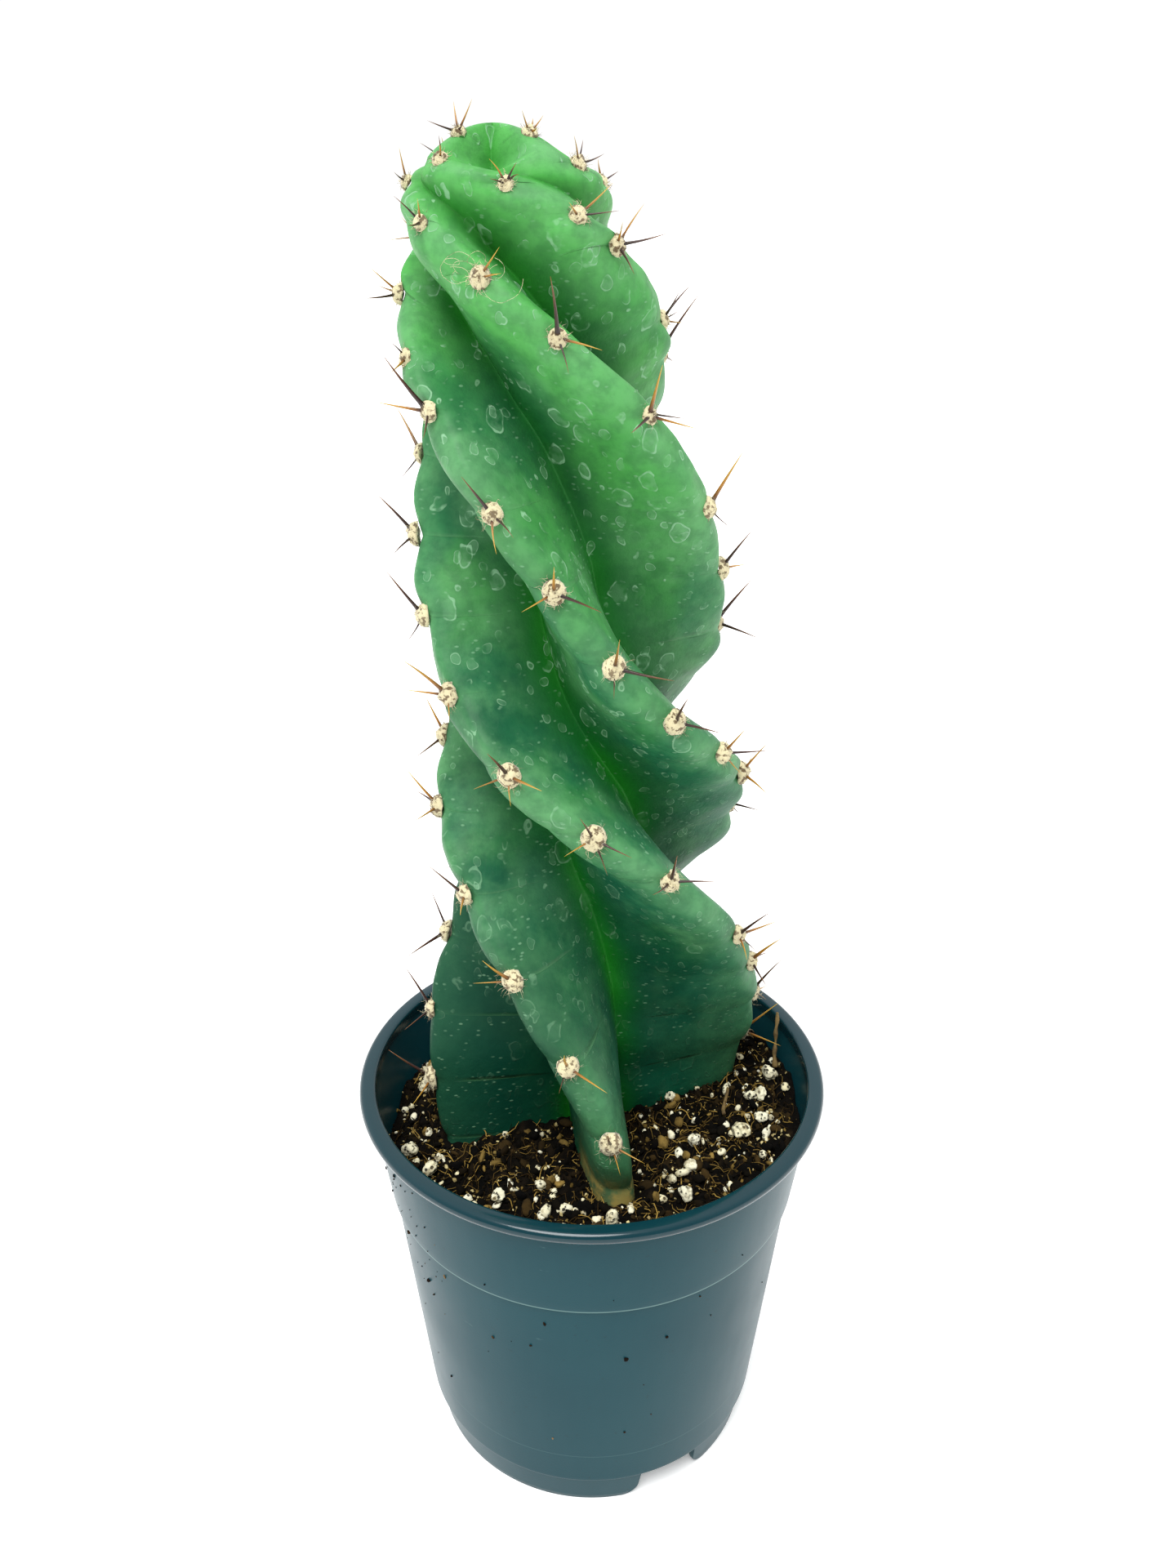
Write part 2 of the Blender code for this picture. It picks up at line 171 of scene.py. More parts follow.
def node_corners(name: str) -> Array:
    """Places of a node's corners.

    Args:
        name: The node's name in the frame.

    Returns:
        One row for each corner.
    """
    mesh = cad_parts[name].data
    corners = np.zeros(len(mesh.vertices) * 3)
    mesh.vertices.foreach_get("co", corners)
    return corners.reshape(-1, 3)


def closed_grid(rows: int, columns: int, turned: bool = False) -> list[Array]:
    """Faces of a round grid that is closed by a point at each end.

    The point before the first row comes right after the grid's own points, and the point
    past the last row comes after that.

    Args:
        rows: Number of rows of points.
        columns: Number of points in each row.
        turned: Whether the faces point the other way.

    Returns:
        The quads and the triangles.
    """
    size = rows * columns
    ends = np.concatenate([pole_triangles(columns, 0, size, False),
                           pole_triangles(columns, size - columns, size + 1, True)])
    return [part[:, ::-1] if turned else part for part in (grid_quads(rows, columns), ends)]


def make_piece(name: str, points: Array, faces: list[Array], material: bpy.types.Material,
               values: dict[Attribute, Array] | None = None, smooth: bool = True) -> bpy.types.Object:
    """Puts points and faces into a mesh object at the origin.

    Args:
        name: The piece's name.
        points: Places of the points.
        faces: Arrays of corner numbers, one array for each face size.
        material: The piece's finish.
        values: Values that the points carry.
        smooth: Whether the faces are shaded round.

    Returns:
        The new object, linked to the scene.
    """
    mesh = bpy.data.meshes.new(name)
    points = np.asarray(points, float).reshape(-1, 3)
    corners = np.concatenate([part.reshape(-1) for part in faces])
    totals = np.concatenate([np.full(len(part), part.shape[1]) for part in faces])
    mesh.vertices.add(len(points))
    mesh.vertices.foreach_set("co", points.astype(np.float32).reshape(-1))
    mesh.loops.add(len(corners))
    mesh.loops.foreach_set("vertex_index", corners.astype(np.int32))
    mesh.polygons.add(len(totals))
    mesh.polygons.foreach_set("loop_start", (np.cumsum(totals) - totals).astype(np.int32))
    mesh.polygons.foreach_set("use_smooth", np.full(len(totals), smooth))
    mesh.update(calc_edges=True)
    for attribute, numbers in (values or {}).items():
        layer = mesh.attributes.new(attribute.value, "FLOAT", "POINT")
        layer.data.foreach_set("value", np.asarray(numbers, np.float32).reshape(-1))
    mesh.materials.append(material)
    piece = bpy.data.objects.new(name, mesh)
    bpy.context.scene.collection.objects.link(piece)
    return piece


def tubes(paths: Array, radii: Array, sides: int) -> tuple[Array, list[Array]]:
    """Carries a round profile along many paths at once, each closed by a point at both ends.

    A ring's points stand at equal angles round the path, in the plane square to the
    path's direction there.

    Args:
        paths: Places along each path, as paths by steps by 3.
        radii: The profile's radius at each step of each path.
        sides: Number of points round the profile.

    Returns:
        The points, path after path, and the face arrays.
    """
    count, steps, _ = paths.shape
    along = unit(np.gradient(paths, axis=1))
    guide = np.where(np.abs(along[:, :1, 2:3]) < 0.8, (0.0, 0.0, 1.0), (1.0, 0.0, 0.0))
    across = unit(np.cross(along, guide))
    over = np.cross(along, across)
    turn = np.arange(sides) * 2 * np.pi / sides
    ring = across[:, :, None] * np.cos(turn)[:, None] - over[:, :, None] * np.sin(turn)[:, None]
    rings = paths[:, :, None] + ring * radii[:, :, None, None]
    body = rings.reshape(count, steps * sides, 3)
    ends = np.stack([paths[:, 0], paths[:, -1]], 1)
    points = np.concatenate([body, ends], 1)
    return points.reshape(-1, 3), repeated(closed_grid(steps, sides, turned=True), count, steps * sides + 2)


def repeated(faces: list[Array], count: int, size: int) -> list[Array]:
    """The same faces again for each of many shapes.

    Args:
        faces: Face arrays of the first shape.
        count: Number of shapes.
        size: Number of points in each shape.

    Returns:
        The face arrays of all the shapes.
    """
    offsets = (np.arange(count) * size)[:, None, None]
    return [(part + offsets).reshape(-1, part.shape[1]) for part in faces]


def along_values(count: int, steps: int, sides: int) -> Array:
    """How far along its path each point of a set of tubes lies, from 0 to 1."""
    body = np.repeat(np.linspace(0, 1, steps), sides)
    return np.tile(np.concatenate([body, (0.0, 1.0)]), count)


def round_template(subdivisions: int) -> tuple[Array, Array]:
    """Points and triangles of a ball of radius 1.

    Args:
        subdivisions: Fineness of the ball.

    Returns:
        The points, and three corner numbers for each triangle.
    """
    ball = bmesh.new()
    bmesh.ops.create_icosphere(ball, subdivisions=subdivisions, radius=1.0)
    points = np.array([corner.co[:] for corner in ball.verts])
    triangles = np.array([[corner.index for corner in face.verts] for face in ball.faces])
    ball.free()
    return points, triangles


def lumps(centres: Array, sizes: Array, rng: np.random.Generator, rough: float,
          subdivisions: int) -> tuple[Array, list[Array]]:
    """Many irregular grains at once.

    Each grain is a ball whose radius is 1 plus a few random sine waves over its surface,
    stretched to its size along three axes and then turned at random.

    Args:
        centres: Middle of each grain.
        sizes: Half size of each grain along its three axes.
        rng: Source of the random shapes.
        rough: Height of the waves, as a part of the radius.
        subdivisions: Fineness of the ball.

    Returns:
        The points, grain after grain, and the face arrays.
    """
    ball, triangles = round_template(subdivisions)
    count = len(centres)
    swing = np.zeros((count, len(ball)))
    for strength in (2.2, 3.6, 6.0):
        ways = unit(rng.normal(size=(count, 3))) * strength
        swing += np.sin(ways @ ball.T + rng.uniform(0, 2 * np.pi, (count, 1))) / strength
    shape = ball[None] * (1 + rough * swing * 2)[:, :, None] * sizes[:, None]
    spin = random_turns(count, rng)
    points = np.einsum("nij,npj->npi", spin, shape) + centres[:, None]
    return points.reshape(-1, 3), repeated([triangles], count, len(ball))


def random_turns(count: int, rng: np.random.Generator) -> Array:
    """Random rotation matrices, from random unit quaternions.

    Args:
        count: Number of matrices.
        rng: Source of the draws.

    Returns:
        An array of 3 by 3 matrices.
    """
    w, x, y, z = unit(rng.normal(size=(count, 4))).T
    rows = [[1 - 2 * (y * y + z * z), 2 * (x * y - w * z), 2 * (x * z + w * y)],
            [2 * (x * y + w * z), 1 - 2 * (x * x + z * z), 2 * (y * z - w * x)],
            [2 * (x * z - w * y), 2 * (y * z + w * x), 1 - 2 * (x * x + y * y)]]
    return np.moveaxis(np.array(rows), -1, 0)


# ------------------------------------------------------------------ shader maths


class Signal:
    """A socket of a node tree, with arithmetic that adds Math nodes to the tree."""

    def __init__(self, shade: "Shade", socket: bpy.types.NodeSocket) -> None:
        """Wraps an output socket of the shade's tree."""
        self.shade = shade
        self.socket = socket

    def _math(self, operation: str, first: Any, second: Any) -> "Signal":
        """Adds one Math node."""
        return self.shade.node("ShaderNodeMath", {"operation": operation}, {0: first, 1: second})

    def __add__(self, other: Any) -> "Signal":
        """Adds."""
        return self._math("ADD", self, other)

    __radd__ = __add__

    def __sub__(self, other: Any) -> "Signal":
        """Subtracts."""
        return self._math("SUBTRACT", self, other)

    def __rsub__(self, other: Any) -> "Signal":
        """Subtracts this from another value."""
        return self._math("SUBTRACT", other, self)

    def __mul__(self, other: Any) -> "Signal":
        """Multiplies."""
        return self._math("MULTIPLY", self, other)

    __rmul__ = __mul__

    def __truediv__(self, other: Any) -> "Signal":
        """Divides."""
        return self._math("DIVIDE", self, other)

    def __pow__(self, other: Any) -> "Signal":
        """Raises to a power."""
        return self._math("POWER", self, other)

    def step(self, low: Any, high: Any) -> "Signal":
        """Rises smoothly from 0 at low to 1 at high, or falls where high is the lower."""
        if isinstance(low, Signal) or low > high:
            return 1 - self._range(high, low)
        return self._range(low, high)

    def _range(self, low: Any, high: Any) -> "Signal":
        """Smooth step with a rising range."""
        return self.shade.node("ShaderNodeMapRange", {"interpolation_type": "SMOOTHSTEP"},
                               {"Value": self, "From Min": low, "From Max": high})


class Shade:
    """A material's node tree, built round one Principled shader."""

    def __init__(self, name: str) -> None:
        """Makes an empty material.

        Args:
            name: The material's name.
        """
        self.material = bpy.data.materials.new(name)
        self.material.use_nodes = True
        self.tree = self.material.node_tree
        self.shader = self.tree.nodes["Principled BSDF"]

    def node(self, kind: str, settings: dict[str, Any] | None = None,
             inputs: dict[Any, Any] | None = None, output: Any = 0) -> Signal:
        """Adds a node.

        Args:
            kind: The node's type.
            settings: Its properties; "stops" gives a ramp's places and colours.
            inputs: A value or a Signal for each socket, by name or number.
            output: Name or number of the socket to hand back.

        Returns:
            The chosen output.
        """
        made = self.tree.nodes.new(kind)
        for key, value in (settings or {}).items():
            if key == "stops":
                self._set_stops(made.color_ramp, value)
            else:
                setattr(made, key, value)
        for key, value in (inputs or {}).items():
            if isinstance(value, Signal):
                self.tree.links.new(value.socket, made.inputs[key])
            else:
                made.inputs[key].default_value = value
        return Signal(self, made.outputs[output])

    def _set_stops(self, ramp: bpy.types.ColorRamp, stops: list[tuple[float, tuple]]) -> None:
        """Sets a ramp's stops from places and colours.

        Args:
            ramp: The ramp.
            stops: Each stop's place and colour.
        """
        while len(ramp.elements) < len(stops):
            ramp.elements.new(0.5)
        for element, (place, colour) in zip(ramp.elements, stops):
            element.position = place
            element.color = (*colour, 1.0)

    def place(self) -> Signal:
        """Places on the piece in metres."""
        return self.node("ShaderNodeTexCoord", output="Object")

    def axes(self) -> tuple[Signal, Signal, Signal]:
        """Splits the places on the piece.

        Returns:
            X, Y and Z in metres.
        """
        split = self.node("ShaderNodeSeparateXYZ", None, {"Vector": self.place()}, output="X")
        outputs = split.socket.node.outputs
        return split, Signal(self, outputs["Y"]), Signal(self, outputs["Z"])

    def carried(self, attribute: Attribute) -> Signal:
        """A value that the mesh carries."""
        return self.node("ShaderNodeAttribute", {"attribute_name": attribute.value}, output="Fac")

    def noise(self, scale: float, detail: float = 2.0, vector: Signal | None = None,
              rough: float = 0.5) -> Signal:
        """Cloudy noise between 0 and 1.

        Args:
            scale: Cells to the metre.
            detail: Number of finer layers.
            vector: Places to read instead of those on the piece.
            rough: Strength of each finer layer.

        Returns:
            The noise.
        """
        return self.node("ShaderNodeTexNoise", None, {"Vector": vector or self.place(), "Scale": scale,
                                                      "Detail": detail, "Roughness": rough})

    def cells(self, scale: float, vector: Signal | None = None, output: str = "Distance") -> Signal:
        """Random cells: the distance from the nearest cell's middle, or the cell's own colour.

        Args:
            scale: Cells to the metre.
            vector: Places to read instead of those on the piece.
            output: "Distance" or "Color".

        Returns:
            The chosen value.
        """
        inputs = {"Vector": vector or self.place(), "Scale": scale, "Randomness": 1.0}
        return self.node("ShaderNodeTexVoronoi", None, inputs, output=output)

    def vector_math(self, operation: str, inputs: dict[Any, Any], output: Any = 0) -> Signal:
        """Adds one Vector Math node.

        Args:
            operation: What it does.
            inputs: A value or a Signal for each socket, by name or number.
            output: Name or number of the socket to hand back.

        Returns:
            The chosen output.
        """
        return self.node("ShaderNodeVectorMath", {"operation": operation}, inputs, output)

    def mix(self, amount: Any, first: Any, second: Any, blend: str = "MIX") -> Signal:
        """Mixes two colours.

        Args:
            amount: Share of the second colour.
            first: A colour or a Signal.
            second: A colour or a Signal.
            blend: Blend type.

        Returns:
            The mixed colour.
        """
        made = self.tree.nodes.new("ShaderNodeMix")
        made.data_type = "RGBA"
        made.blend_type = blend
        for socket, value in ((made.inputs[0], amount), (made.inputs[6], first), (made.inputs[7], second)):
            if isinstance(value, Signal):
                self.tree.links.new(value.socket, socket)
            else:
                socket.default_value = (*value, 1.0) if isinstance(value, tuple) else value
        return Signal(self, made.outputs[2])

    def stretched(self, scale: tuple[float, float, float]) -> Signal:
        """Places on the piece, stretched along each axis."""
        return self.node("ShaderNodeMapping", None, {"Vector": self.place(), "Scale": scale})

    def bump(self, height: Signal, distance: float, below: Signal | None = None) -> Signal:
        """Tilts the normal by the slope of a height field.

        Args:
            height: The field, from 0 to 1.
            distance: What 1 stands for, in metres.
            below: A normal that is already tilted.

        Returns:
            The new normal.
        """
        inputs = {"Height": height, "Distance": distance, "Strength": 1.0}
        if below is not None:
            inputs["Normal"] = below
        return self.node("ShaderNodeBump", None, inputs)

    def finish(self, links: dict[str, Signal | float | tuple]) -> bpy.types.Material:
        """Sets the Principled shader's sockets.

        Args:
            links: A value, a colour or a Signal for each socket.

        Returns:
            The finished material.
        """
        for name, value in links.items():
            socket = self.shader.inputs[name]
            if isinstance(value, Signal):
                self.tree.links.new(value.socket, socket)
            else:
                socket.default_value = (*value, 1.0) if isinstance(value, tuple) else value
        return self.material


# ------------------------------------------------------------------ finishes


@dataclass(frozen=True)
class WaxySkin:
    """The stem's skin: green under a pale waxy coat, with dried water rings, a few long-healed scars, and
    painted shade and highlights.
    """

    young: tuple = (0.086, 0.400, 0.078)
    old_shaded_green: tuple = (0.003, 0.072, 0.031)
    shadow_and_mottle_green: tuple = (0.001, 0.038, 0.022)
    sea: tuple = (0.006, 0.104, 0.056)
    bloom_and_highlight: tuple = (0.130, 0.360, 0.145)
    crease_highlight_green: tuple = (0.008, 0.215, 0.002)
    ring: tuple = (0.300, 0.560, 0.340)
    cork: tuple = (0.30, 0.22, 0.060)
    cork_green: tuple = (0.070, 0.115, 0.050)
    tan: tuple = (0.42, 0.24, 0.050)
    scars: tuple = ((-0.0322, -0.0085, 0.2335), (-0.0285, -0.0150, 0.2205), (-0.0300, -0.0105, 0.2640))
    specular: float = 0.14

    def material(self) -> bpy.types.Material:
        """Builds the skin's nodes from its layers, the lowest first.

        Returns:
            The finished material.
        """
        shade = Shade("waxy_skin")
        valley = shade.carried(Attribute.VALLEY)
        share = shade.carried(Attribute.SHARE)
        phase = shade.carried(Attribute.PHASE)
        x, y, _ = shade.axes()
        colour = self._tissue(shade, valley, share, x, y)
        chevron = self._chevrons(shade, phase, valley)
        colour = shade.mix(0.30 * chevron, colour, self.bloom_and_highlight)
        rings = self._water_rings(shade)
        colour = shade.mix(0.60 * rings * share.step(-0.1, 0.8), colour, self.ring)
        fleck = self._flecks(shade)
        colour = shade.mix(0.32 * fleck, colour, self.ring)
        colour = self._corky_foot(shade, colour, valley, share, y)
        scar = self._scars(shade)
        colour = shade.mix(scar, colour, self.tan)
        rough = 0.42 + 0.16 * shade.noise(120, 4) + 0.12 * rings
        normal = shade.bump(shade.noise(1500, 3), 0.06 * MM)
        normal = shade.bump(shade.noise(190, 3), 0.30 * MM, normal)
        normal = shade.bump(1 - chevron, 0.40 * MM, normal)
        normal = shade.bump(rings + scar + fleck, 0.08 * MM, normal)
        return shade.finish({"Base Color": colour, "Roughness": rough, "Normal": normal,
                             "Specular IOR Level": self.specular})

    def _tissue(self, shade: Shade, valley: Signal, share: Signal, x: Signal, y: Signal) -> Signal:
        """The green itself: lighter young growth at the tip over a base that is partly painted shade,
        blue-green patches with painted shade at both sides, painted shade on the left, in the valleys and
        at the foot, waxy patches with a painted highlight along the crests, and painted highlights in the
        creases.

        Args:
            shade: The skin's node tree.
            valley: 0 on a crest, 1 in a valley.
            share: Part of the stem's length above the soil.
            x: Place from left to right.
            y: Place from front to back.

        Returns:
            The colour.
        """
        # Lighter young growth towards the tip over a darker base; the base's dark green is partly painted
        # shade.
        age_and_base_shade = (share + 0.34 * (shade.noise(34) - 0.5)).step(0.12, 1.08)
        colour = shade.mix(age_and_base_shade, self.old_shaded_green, self.young)
        # Random blue-green patches, made stronger towards both sides as painted shade.
        side_shade_weight = (x + 0.005) * (x + 0.005)
        bluish_and_side_shade = (shade.noise(30, 3) + 240 * side_shade_weight).step(0.50, 0.66) * share.step(0.95, 0.74)
        colour = shade.mix(0.62 * bluish_and_side_shade, colour, self.sea)
        # Painted shade in patches over the left side, below the tip.
        left = (x + 0.012).step(0.014, -0.020)
        shady = shade.noise(24, 3).step(0.44, 0.62) * left * share.step(0.95, 0.60)
        colour = shade.mix(0.72 * shady, colour, self.shadow_and_mottle_green)
        # Painted shade in the valleys, below the tip.
        below_tip = share.step(1.0, 0.88)
        colour = shade.mix(0.62 * valley.step(0.30, 0.85) * below_tip, colour, self.shadow_and_mottle_green)
        # Waxy patches kept to the crests and the upper stem, partly a painted highlight.
        wax_and_crest_highlight = shade.noise(52, 5, rough=0.62).step(0.38, 0.66) * valley.step(0.85, 0.15)
        colour = shade.mix(0.60 * wax_and_crest_highlight * share.step(-0.10, 0.50), colour, self.bloom_and_highlight)
        # Painted highlight along the crests.
        colour = shade.mix(0.42 * valley.step(0.34, 0.02), colour, self.bloom_and_highlight)
        # Painted shade low on the front-left, near the soil.
        foot_shade = share.step(0.40, 0.14) * (x + 0.4 * y).step(-0.010, -0.024)
        colour = shade.mix(0.80 * foot_shade, colour, self.shadow_and_mottle_green)
        mottle = shade.noise(300, 4, rough=0.6).step(0.35, 0.70)
        colour = shade.mix(0.30 * mottle, colour, self.shadow_and_mottle_green)
        # Painted highlight in the bottom of the creases.
        crease = valley.step(0.48, 1.0) * shade.noise(26, 1).step(0.34, 0.60)
        return shade.mix(0.70 * crease * (0.35 + 0.65 * below_tip), colour, self.crease_highlight_green)

    def _corky_foot(self, shade: Shade, colour: Signal, valley: Signal, share: Signal,
                    y: Signal) -> Signal:
        """Brown and grey-green cork on the front rib where it meets the soil.

        Args:
            shade: The skin's node tree.
            colour: The colour so far.
            valley: 0 on a crest, 1 in a valley.
            share: Part of the stem's length above the soil.
            y: Place from front to back.

        Returns:
            The colour with the cork.
        """
        corky = (share + 0.05 * (shade.noise(260, 3) - 0.5)).step(0.055, 0.004)
        corky = corky * valley.step(0.60, 0.12) * y.step(-0.012, -0.024)
        bark = shade.mix(shade.noise(210, 4).step(0.42, 0.60), self.cork, self.cork_green)
        return shade.mix(0.92 * corky, colour, bark)

    def _chevrons(self, shade: Shade, phase: Signal, valley: Signal) -> Signal:
        """Faint lines that run down each flank from just above an areole.

        Args:
            shade: The skin's node tree.
            phase: How far the crest has come from one areole to the next.
            valley: 0 on a crest, 1 in a valley.

        Returns:
            The lines' strength.
        """
        line = phase + 0.10 * (shade.noise(80, 2) - 0.5) + valley * 0.20
        near = line.step(0.02, 0.06) * line.step(0.14, 0.07)
        return near * valley.step(0.05, 0.3) * shade.noise(60, 1).step(0.35, 0.6)

    def _water_rings(self, shade: Shade) -> Signal:
        """Outlines of dried drops, drawn out downwards, of two sizes and partly worn away.

        Args:
            shade: The skin's node tree.

        Returns:
            The rings' strength.
        """
        total: Signal | float = 0.0
        for scale, low, seed in ((165.0, 0.18, 3.1), (330.0, 0.20, 9.7)):
            drawn = shade.stretched((1.0, 1.0, 0.72))
            warped = shade.vector_math("ADD", {0: drawn, 1: self._warp(shade, seed)})
            reach = shade.cells(scale, warped)
            tint = shade.cells(scale, warped, "Color")
            chosen = shade.node("ShaderNodeSeparateColor", None, {"Color": tint}, output="Red")
            radius = low + 0.16 * chosen
            edge = (reach - radius) * (reach - radius)
            ring = edge.step(0.0014, 0.0001) + 0.26 * reach.step(radius, radius - 0.02)
            total = ring * chosen.step(0.60, 0.66) + total
        return total * shade.noise(330, 2).step(0.38, 0.60)

    def _warp(self, shade: Shade, seed: float) -> Signal:
        """A small wandering offset that keeps the rings from being true circles.

        Args:
            shade: The skin's node tree.
            seed: Shift of the noise.

        Returns:
            The offset as a vector.
        """
        moved = shade.vector_math("ADD", {0: shade.place(), 1: (seed,) * 3})
        cloud = shade.node("ShaderNodeTexNoise", None, {"Vector": moved, "Scale": 300.0, "Detail": 1.0},
                           output="Color")
        middle = shade.vector_math("SUBTRACT", {0: cloud, 1: (0.5,) * 3})
        return shade.vector_math("SCALE", {0: middle, "Scale": 2.2 * MM})

    def _flecks(self, shade: Shade) -> Signal:
        """Fine pale pores and short scratches scattered over the skin."""
        reach = shade.cells(700.0, shade.stretched((0.6, 0.6, 1.3)))
        return reach.step(0.27, 0.10) * shade.noise(150, 2).step(0.46, 0.62)

    def _scars(self, shade: Shade) -> Signal:
        """Small healed scars with ragged edges.

        Args:
            shade: The skin's node tree.

        Returns:
            The scars' strength.
        """
        ragged = 1.6 * MM * (shade.noise(600, 3) - 0.5)
        total: Signal | float = 0.0
        for centre in self.scars:
            apart = shade.vector_math("DISTANCE", {0: shade.place(), 1: centre}, "Value")
            total = (apart + ragged).step(2.6 * MM, 1.7 * MM) + total
        return total * shade.noise(900, 2).step(0.36, 0.50)


@dataclass(frozen=True)
class PotPlastic:
    """Satin moulded plastic with faint scuffs and flow lines."""

    body: tuple = (0.004, 0.043, 0.056)
    light: tuple = (0.008, 0.056, 0.069)
    lip: tuple = (0.002, 0.024, 0.033)
    scuff: tuple = (0.12, 0.22, 0.21)
    speck_dark: tuple = (0.008, 0.028, 0.034)
    lip_height: float = 0.1008
    step_height: float = 0.0753
    foot_line_height: float = 0.0199
    specular: float = 0.10
    lip_coat: float = 0.55
    coat_roughness: float = 0.12

    def material(self) -> bpy.types.Material:
        """Builds the plastic's nodes.

        Returns:
            The finished material.
        """
        shade = Shade("pot_plastic_satin")
        _, _, height = shade.axes()
        cloudy = shade.noise(26, 4).step(0.3, 0.7)
        colour = shade.mix(0.5 * cloudy, self.body, self.light)
        streak = shade.noise(1.0, 3, shade.stretched((420.0, 420.0, 9.0))).step(0.45, 0.75)
        colour = shade.mix(0.10 * streak, colour, self.light)
        speck = shade.noise(700, 2).step(0.70, 0.74)
        colour = shade.mix(0.35 * speck, colour, self.speck_dark)
        scratches = shade.noise(1.0, 4, shade.stretched((160.0, 160.0, 700.0))).step(0.73, 0.78)
        colour = shade.mix(0.30 * scratches, colour, self.scuff)
        seam = self._line(height, self.step_height + 0.0004, 0.00055)
        seam_low = self._line(height, self.foot_line_height, 0.00022)
        colour = shade.mix(0.85 * seam + 0.20 * seam_low, colour, self.scuff)
        lip = height.step(self.lip_height - 0.0003, self.lip_height)
        colour = shade.mix(0.80 * lip, colour, self.lip)
        rough = 0.24 + 0.14 * shade.noise(70, 3) - 0.06 * height.step(self.lip_height, 0.1015)
        normal = shade.bump(shade.noise(2600, 2), 0.000012)
        normal = shade.bump(shade.noise(1.0, 2, shade.stretched((60.0, 60.0, 14.0))), 0.00025, normal)
        gloss = height.step(self.lip_height - 0.0008, self.lip_height + 0.0004)
        return shade.finish({"Base Color": colour, "Roughness": rough, "Normal": normal,
                             "Specular IOR Level": self.specular, "Coat Weight": self.lip_coat * gloss,
                             "Coat Roughness": self.coat_roughness})

    def _line(self, height: Signal, at: float, half: float) -> Signal:
        """A thin level line round the wall."""
        return height.step(at - half, at) * height.step(at + half, at)


@dataclass(frozen=True)
class TintedGrain:
    """A granular finish whose colour runs between stops by each grain's own tint."""

    name: str
    stops: tuple
    roughness: float = 0.95
    mottle: float = 0.35
    dark: tuple = (0.006, 0.004, 0.003)
    scale: float = 900.0
    relief: float = 0.0002
    specular: float = 0.08

    def material(self) -> bpy.types.Material:
        """Builds the grain's nodes.

        Returns:
            The finished material.
        """
        shade = Shade(self.name)
        tint = shade.carried(Attribute.TINT)
        colour = shade.node("ShaderNodeValToRGB", {"stops": list(self.stops)}, {"Fac": tint})
        cloudy = shade.noise(self.scale, 3)
        colour = shade.mix(self.mottle * cloudy.step(0.45, 0.72), colour, self.dark)
        normal = shade.bump(shade.noise(self.scale * 1.6, 3), self.relief)
        return shade.finish({"Base Color": colour, "Roughness": self.roughness, "Normal": normal,
                             "Specular IOR Level": self.specular})


@dataclass(frozen=True)
class PorousMineral:
    """Expanded perlite: off-white, with small pits whose shade is painted dark."""

    white: tuple = (0.84, 0.81, 0.62)
    cream: tuple = (0.66, 0.57, 0.28)
    pit_shadow: tuple = (0.016, 0.011, 0.005)
    dirt: tuple = (0.16, 0.11, 0.035)

    def material(self) -> bpy.types.Material:
        """Builds the perlite's nodes.

        Returns:
            The finished material.
        """
        shade = Shade("porous_mineral")
        tint = shade.carried(Attribute.TINT)
        creamy = tint * 0.6 + 0.4 * shade.noise(300, 2).step(0.5, 0.8)
        colour = shade.mix(creamy, self.white, self.cream)
        reach = shade.cells(900.0)
        # Pits: painted shadow in their colour, and relief in the bump.
        pits = reach.step(0.42, 0.22) * shade.noise(420, 2).step(0.36, 0.50)
        colour = shade.mix(0.95 * pits, colour, self.pit_shadow)
        dirt = shade.noise(300, 4, rough=0.7).step(0.48, 0.64)
        colour = shade.mix(0.62 * dirt, colour, self.dirt)
        normal = shade.bump(1 - pits, 0.0005)
        normal = shade.bump(shade.noise(1400, 4), 0.0002, normal)
        return shade.finish({"Base Color": colour, "Roughness": 0.92, "Normal": normal})


@dataclass(frozen=True)
class AreoleWool:
    """Felted cream wool with brown flecks of dirt."""

    cream: tuple = (0.72, 0.64, 0.40)
    brown: tuple = (0.10, 0.055, 0.018)

    def material(self) -> bpy.types.Material:
        """Builds the wool's nodes.

        Returns:
            The finished material.
        """
        shade = Shade("areole_wool")
        tint = shade.carried(Attribute.TINT)
        patch = shade.noise(1000, 3).step(0.50, 0.60)
        colour = shade.mix(0.80 * patch + 0.15 * tint, self.cream, self.brown)
        normal = shade.bump(shade.noise(2200, 4), 0.00025)
        return shade.finish({"Base Color": colour, "Roughness": 0.95, "Normal": normal,
                             "Sheen Weight": 0.3, "Sheen Roughness": 0.5})


